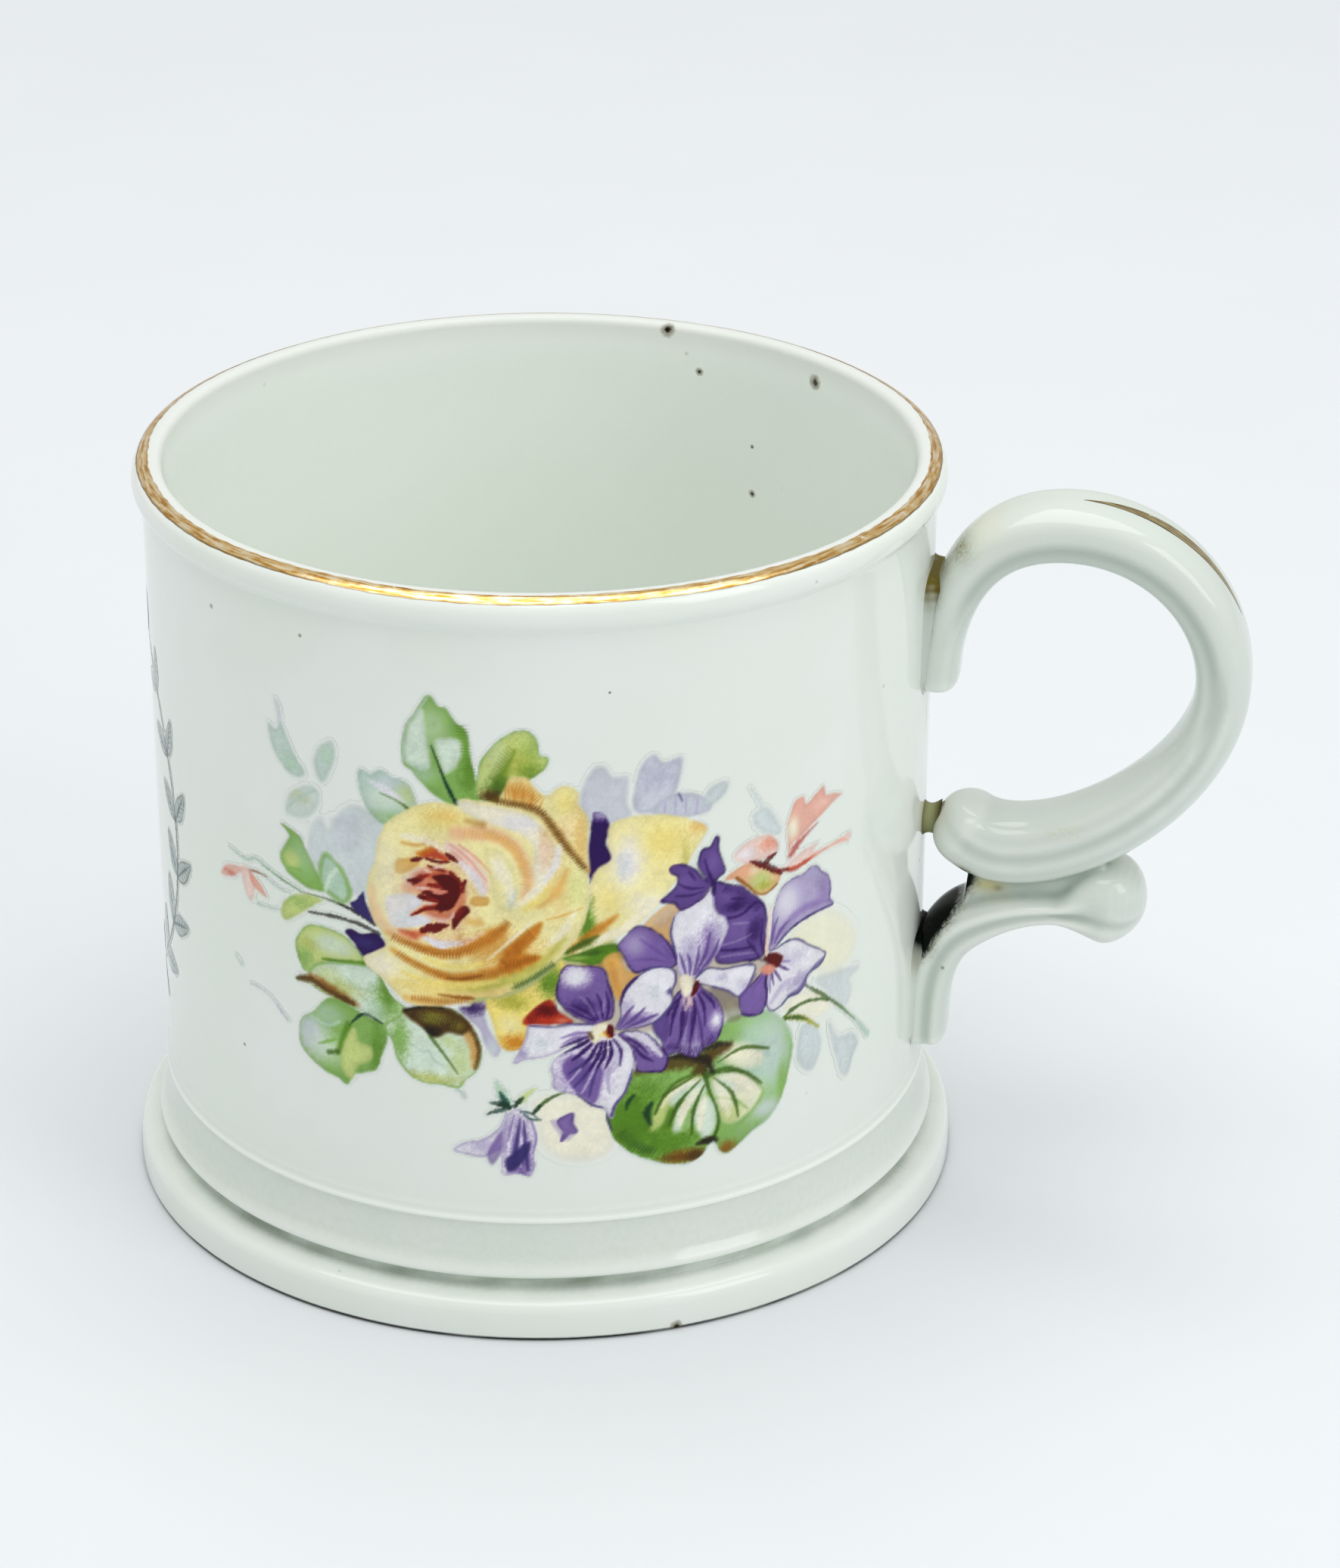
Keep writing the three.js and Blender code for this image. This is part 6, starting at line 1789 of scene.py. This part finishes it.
# The purple bud and the coral bud on the right.
bud_petal = wash(PURPLE, [
    13.4, 53.2, 13.3, 53.7, 13.8, 54, 15, 53.8, 16.2, 53, 17, 52, 18, 51, 17.6, 50.3, 16.6, 49.4,
    14.6, 48.7, 13.8, 49.6, 12.4, 50, 13.2, 50.8, 14, 51.6, 14.2, 52.6,
], rim=PLUM)
dab(bud_petal, (VIOLET, 15, 51.8, 1.4, 1, 0.5))
fan(PLUM, [
    [14.2, 51.8, 15.6, 51, 17.2, 50.8], [14, 50.4, 15.6, 50.2, 17, 50.4], [15.4, 53, 16.2, 51.8],
], 0.3, 0.7)
bud_tip = wash(PURPLE, [
    16.5, 53.4, 16.6, 54.6, 17, 55.3, 17.8, 55.4, 18.4, 56.4, 18.8, 56.2, 18.8, 54.8, 19.4, 53.2,
    19.6, 52.2, 18.8, 51.6, 18, 51, 17.2, 52,
], rim=PLUM)
dab(bud_tip, (VIOLET, 18.2, 53.6, 0.9, 1.4, 0.6))
line(PLUM, [17.2, 54, 17.6, 52.6, 18.2, 51, 18.3, 49.8], (0.15, 0.3, 0.7, 0.4), 0.85)
coral_bud = wash(BLUSH, [
    20.6, 53.6, 21.4, 54.6, 23, 55.1, 24.6, 55.2, 25.8, 54.4, 26.4, 53.2, 25.6, 52.4, 24, 52.4, 22.6, 52.2,
    21.4, 52.8,
], 0.15)
dab(coral_bud, (WHITE, 22, 53.6, 1.3, 0.8, 0.8), (CORAL, 25, 54.1, 1.4, 0.9, 0.75))
calyx = wash(PEACH, [
    19.6, 51.2, 21, 52.2, 22.4, 52.4, 24, 52, 25.4, 51, 26.6, 50.2, 26.2, 49, 24.8, 48.2, 23.6, 48.4,
    22.4, 49.4, 21, 50.8,
], 0.15)
dab(
    calyx,
    (LIME, 24.2, 50, 2, 1.6, 0.9), (OLIVE_INK, 24.6, 49.2, 1.4, 0.7, 0.6),
    (CREAM, 23.2, 51.4, 0.8, 0.6, 0.5),
)
line(UMBER, [21, 51, 22.4, 49.8, 23.6, 48.6, 24.8, 48.3, 26.2, 49], (0.5, 0.35, 0.2, 0.25, 0.2), 0.8)
line(CRIMSON, [22.6, 52.6, 24.2, 51.8, 25.6, 50.9, 26.7, 50.1], (0.15, 0.8, 0.8, 0.5))
line(CRIMSON, [24.6, 52, 25.4, 52.4, 26, 52.7], (0.6, 0.6, 0.2))
coral_petal = wash(CORAL, [
    27.6, 52, 28, 53, 29.4, 53.6, 31, 54.6, 33, 55.6, 34.6, 56.4, 35.6, 56.6, 34.2, 57.1, 33, 57.4,
    32.5, 58.6, 31, 57.7, 30, 57.2, 29.6, 58.2, 28.4, 58, 27.9, 57, 27.4, 55.6, 27.5, 54,
], 0.18, 0.75)
dab(coral_petal, (CREAM, 28.2, 55, 0.9, 1.7, 1), (BLUSH, 32.6, 56.6, 1.8, 0.8, 0.4))
line(SCARLET, [27.9, 51.8, 28.6, 52.6, 30, 53.6, 31.8, 54.5], (0.7, 0.9, 0.5, 0.1), 0.85, 0.18)
wash(BLUSH, [
    27.4, 50.4, 28.4, 51.4, 30, 52, 32, 52.1, 31.2, 51.3, 33, 51.2, 35, 51.3, 36.8, 51.6, 37.2, 50.9,
    35.6, 50.8, 33, 50.8, 29, 50,
], 0.2, 0.95)
line(SCARLET, [26.4, 50.6, 28.4, 50.1, 30, 50.4, 31.4, 50.8], (0.5, 0.6, 0.6, 0.1), 0.8, 0.15)
line(CRIMSON, [26.4, 50.5, 27.6, 50.3], 0.35, 0.8)
line(CORAL, [31, 50.7, 33, 51, 35.4, 51.2, 36.9, 50.5], (0.5, 0.3, 0.3, 0.1), 0.6, 0.15)

# The skin under the ink.
FAINTEST_INK = 0.015
PRINT_PROUD = 0.03
PAPER_TONE = 238
INK_DEPTH = 1.13
INK_DULL = 0.75
printed_glaze = glazed("printed_glaze", layered=True)


def print_skin(name, middle):
    """The skin that carries the ink of the sheet, a hair off the wall and centred on a turn of it."""
    inked = sheet_cover > FAINTEST_INK
    cells = inked[:-1, :-1] | inked[1:, :-1] | inked[:-1, 1:] | inked[1:, 1:]
    rows, columns = np.nonzero(cells)
    wide = len(sheet_across)
    corner = rows * wide + columns
    quads = np.stack([corner, corner + 1, corner + wide + 1, corner + wide], axis=1)
    used, quads = np.unique(quads, return_inverse=True)
    turn = middle + sheet_across[used % wide] / WALL_TOP_RADIUS
    height = sheet_up[used // wide]
    radius = wall_radius(height) + hand_wobble(turn, height) + PRINT_PROUD
    skin = make_piece(name, about_axis(radius, turn, height), quads.reshape(-1, 4))
    share = np.clip(sheet_ink.reshape(-1, 3)[used] / PAPER_TONE, 0, 1.05) ** INK_DEPTH * PAPER_TONE / 255
    cover = sheet_cover.ravel()[used]
    paint_layer(skin, linear_light(share), cover, INK_DULL * cover)
    skin.data.materials.append(printed_glaze)
    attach(skin, "root")


SPRAY_TURN = math.radians(-79)
print_skin("flower_spray", SPRAY_TURN)

# Leaf wreath: a second transfer, in greys, on the wall opposite the handle: two sprigs of leaves that
# part from a bow at the foot. It is fired on over the glaze like the flowers, and the wall in it is bare.
STEEL = (140, 158, 156)
SLATE = (70, 92, 92)
SILVER = (176, 188, 190)
sheet_ink[:] = 0
sheet_cover[:] = 0


def wreath_leaf(stem, turn, length):
    """A pointed leaf from its stem end, with a vein and hatching on both sides of it."""
    ahead = np.array([math.cos(turn), math.sin(turn)])
    side = np.array([-ahead[1], ahead[0]])

    def at(along, out):
        """A place in the leaf, as shares of its length."""
        return np.array(stem) + ahead * along * length + side * out * length

    shape = wash(
        STEEL,
        [at(0, 0), at(0.3, 0.2), at(0.62, 0.19), at(1, 0.02), at(0.62, -0.17), at(0.3, -0.2)],
        0.12,
        0.55,
        SLATE,
    )
    dab(shape, (SILVER, *at(0.5, 0.09), length * 0.3, length * 0.12, 0.7))
    line(SLATE, [at(0, 0), at(0.5, 0.02), at(0.95, 0.02)], (0.32, 0.24, 0.1))
    for along in (0.22, 0.38, 0.54, 0.7):
        for out in (0.13, -0.13):
            line(SLATE, [at(along, 0), at(along + 0.14, out)], (0.2, 0.1), 0.7)


SPRIG = [1, 23, 12, 25, 22, 34, 25, 46, 21.5, 58, 13, 67]
BOW = [(0, 22.6), (3, 25), (6, 24), (6.4, 21.6), (4, 20.6)]
RIBBON_END = [(0, 22.4), (2, 20), (5.5, 18.4)]
SPRIG_LEAVES = 9
for hand in (-1, 1):
    sprig = smooth_line(SPRIG, closed=False) * (hand, 1)
    line(SLATE, sprig[::7], (0.6, 0.5, 0.3))
    for at_leaf in np.linspace(3, len(sprig) - 2, SPRIG_LEAVES).astype(int):
        heading = sprig[at_leaf + 1] - sprig[at_leaf - 1]
        turn = math.atan2(heading[1], heading[0])
        for lean in (0.75, -0.75):
            wreath_leaf(sprig[at_leaf], turn + lean, 6.4 - 2.0 * at_leaf / len(sprig))
    ribbon = wash(STEEL, np.array(BOW) * (hand, 1), 0.12, 0.9, SLATE)
    dab(ribbon, (SILVER, hand * 4.4, 23, 1.6, 0.9, 0.7))
    line(STEEL, np.array(RIBBON_END) * (hand, 1), (0.9, 1.1, 0.5))
wash(SLATE, [-0.9, 22.4, 0, 23.4, 0.9, 22.4, 0, 21.4])
print_skin("leaf_wreath", math.pi)

# Stage: a pale sheet of paper that the mug stands on, rolled out flat and far.
# A wide soft light hangs over it, with a window on the right and plain daylight all round.
PAPER = srgb(228, 232, 234)
PAPER_SHADE = srgb(225, 229, 232)
FLOOR_HALF = 3.0
floor_mesh = bpy.data.meshes.new("floor")
corners = [(x * FLOOR_HALF, y * FLOOR_HALF, 0) for x, y in ((-1, -1), (1, -1), (1, 1), (-1, 1))]
floor_mesh.from_pydata(corners, [], [[0, 1, 2, 3]])
floor = bpy.data.objects.new("floor", floor_mesh)
bpy.context.scene.collection.objects.link(floor)
paper, paper_tree, paper_shader = new_material("paper")
paper_tone = blended(paper_tree, noise(paper_tree, 26.0, 4.0), PAPER_SHADE, PAPER)
paper_tree.links.new(paper_tone, paper_shader.inputs["Base Color"])
paper_shader.inputs["Roughness"].default_value = 0.9
paper_shader.inputs["Specular IOR Level"].default_value = 0.1
floor_mesh.materials.append(paper)

DAYLIGHT = 0.62
world = bpy.data.worlds.new("daylight")
bpy.context.scene.world = world
world.use_nodes = True
sky = world.node_tree.nodes["Background"]
sky.inputs["Color"].default_value = (1.0, 1.0, 1.0, 1.0)
sky.inputs["Strength"].default_value = DAYLIGHT


def soft_light(name, place, target, size, power):
    """An area lamp turned to a target."""
    lamp = bpy.data.lights.new(name, "AREA")
    lamp.shape = "RECTANGLE"
    lamp.size, lamp.size_y = size
    lamp.energy = power
    holder = bpy.data.objects.new(name, lamp)
    holder.location = place
    holder.rotation_euler = (Vector(target) - Vector(place)).to_track_quat("-Z", "Y").to_euler()
    bpy.context.scene.collection.objects.link(holder)


soft_light("overhead", (-0.05, 0.03, 1.2), (0, 0, 0), (1.2, 1.2), 8.6)
soft_light("window", (0.9, -0.5, 0.7), (0, 0, 0.04), (0.5, 0.8), 2.6)

# Camera: held above and in front of the mug, a little round towards its handle, with a long lens.
FOCAL_PIXELS = 6143.57
LONG_SIDE_PIXELS = 2072
SENSOR = 36.0
HANDLE_TURN = math.radians(11)
CAMERA_PLACE = (0.0, -472.87, 266.92)
CAMERA_YAW = 0.0301
CAMERA_PITCH = 0.4403
CAMERA_ROLL = 0.0045
turn = Matrix.Rotation(HANDLE_TURN, 3, "Z")
forward = Vector(
    (
        math.sin(CAMERA_YAW) * math.cos(CAMERA_PITCH),
        math.cos(CAMERA_YAW) * math.cos(CAMERA_PITCH),
        -math.sin(CAMERA_PITCH),
    )
)
level = Vector((math.cos(CAMERA_YAW), -math.sin(CAMERA_YAW), 0))
upright = level.cross(forward)
right = level * math.cos(CAMERA_ROLL) + upright * math.sin(CAMERA_ROLL)
up = upright * math.cos(CAMERA_ROLL) - level * math.sin(CAMERA_ROLL)
right, up, back = turn @ right, turn @ up, turn @ -forward
lens = bpy.data.cameras.new("camera")
lens.sensor_width = SENSOR
lens.lens = FOCAL_PIXELS * SENSOR / LONG_SIDE_PIXELS
camera = bpy.data.objects.new("camera", lens)
pose = Matrix((right, up, back)).transposed().to_4x4()
pose.translation = (turn @ Vector(CAMERA_PLACE) + Vector((AXIS, 0, 0))) * MM
camera.matrix_world = pose
bpy.context.scene.collection.objects.link(camera)
bpy.context.scene.camera = camera
bpy.context.scene.view_settings.view_transform = "Standard"
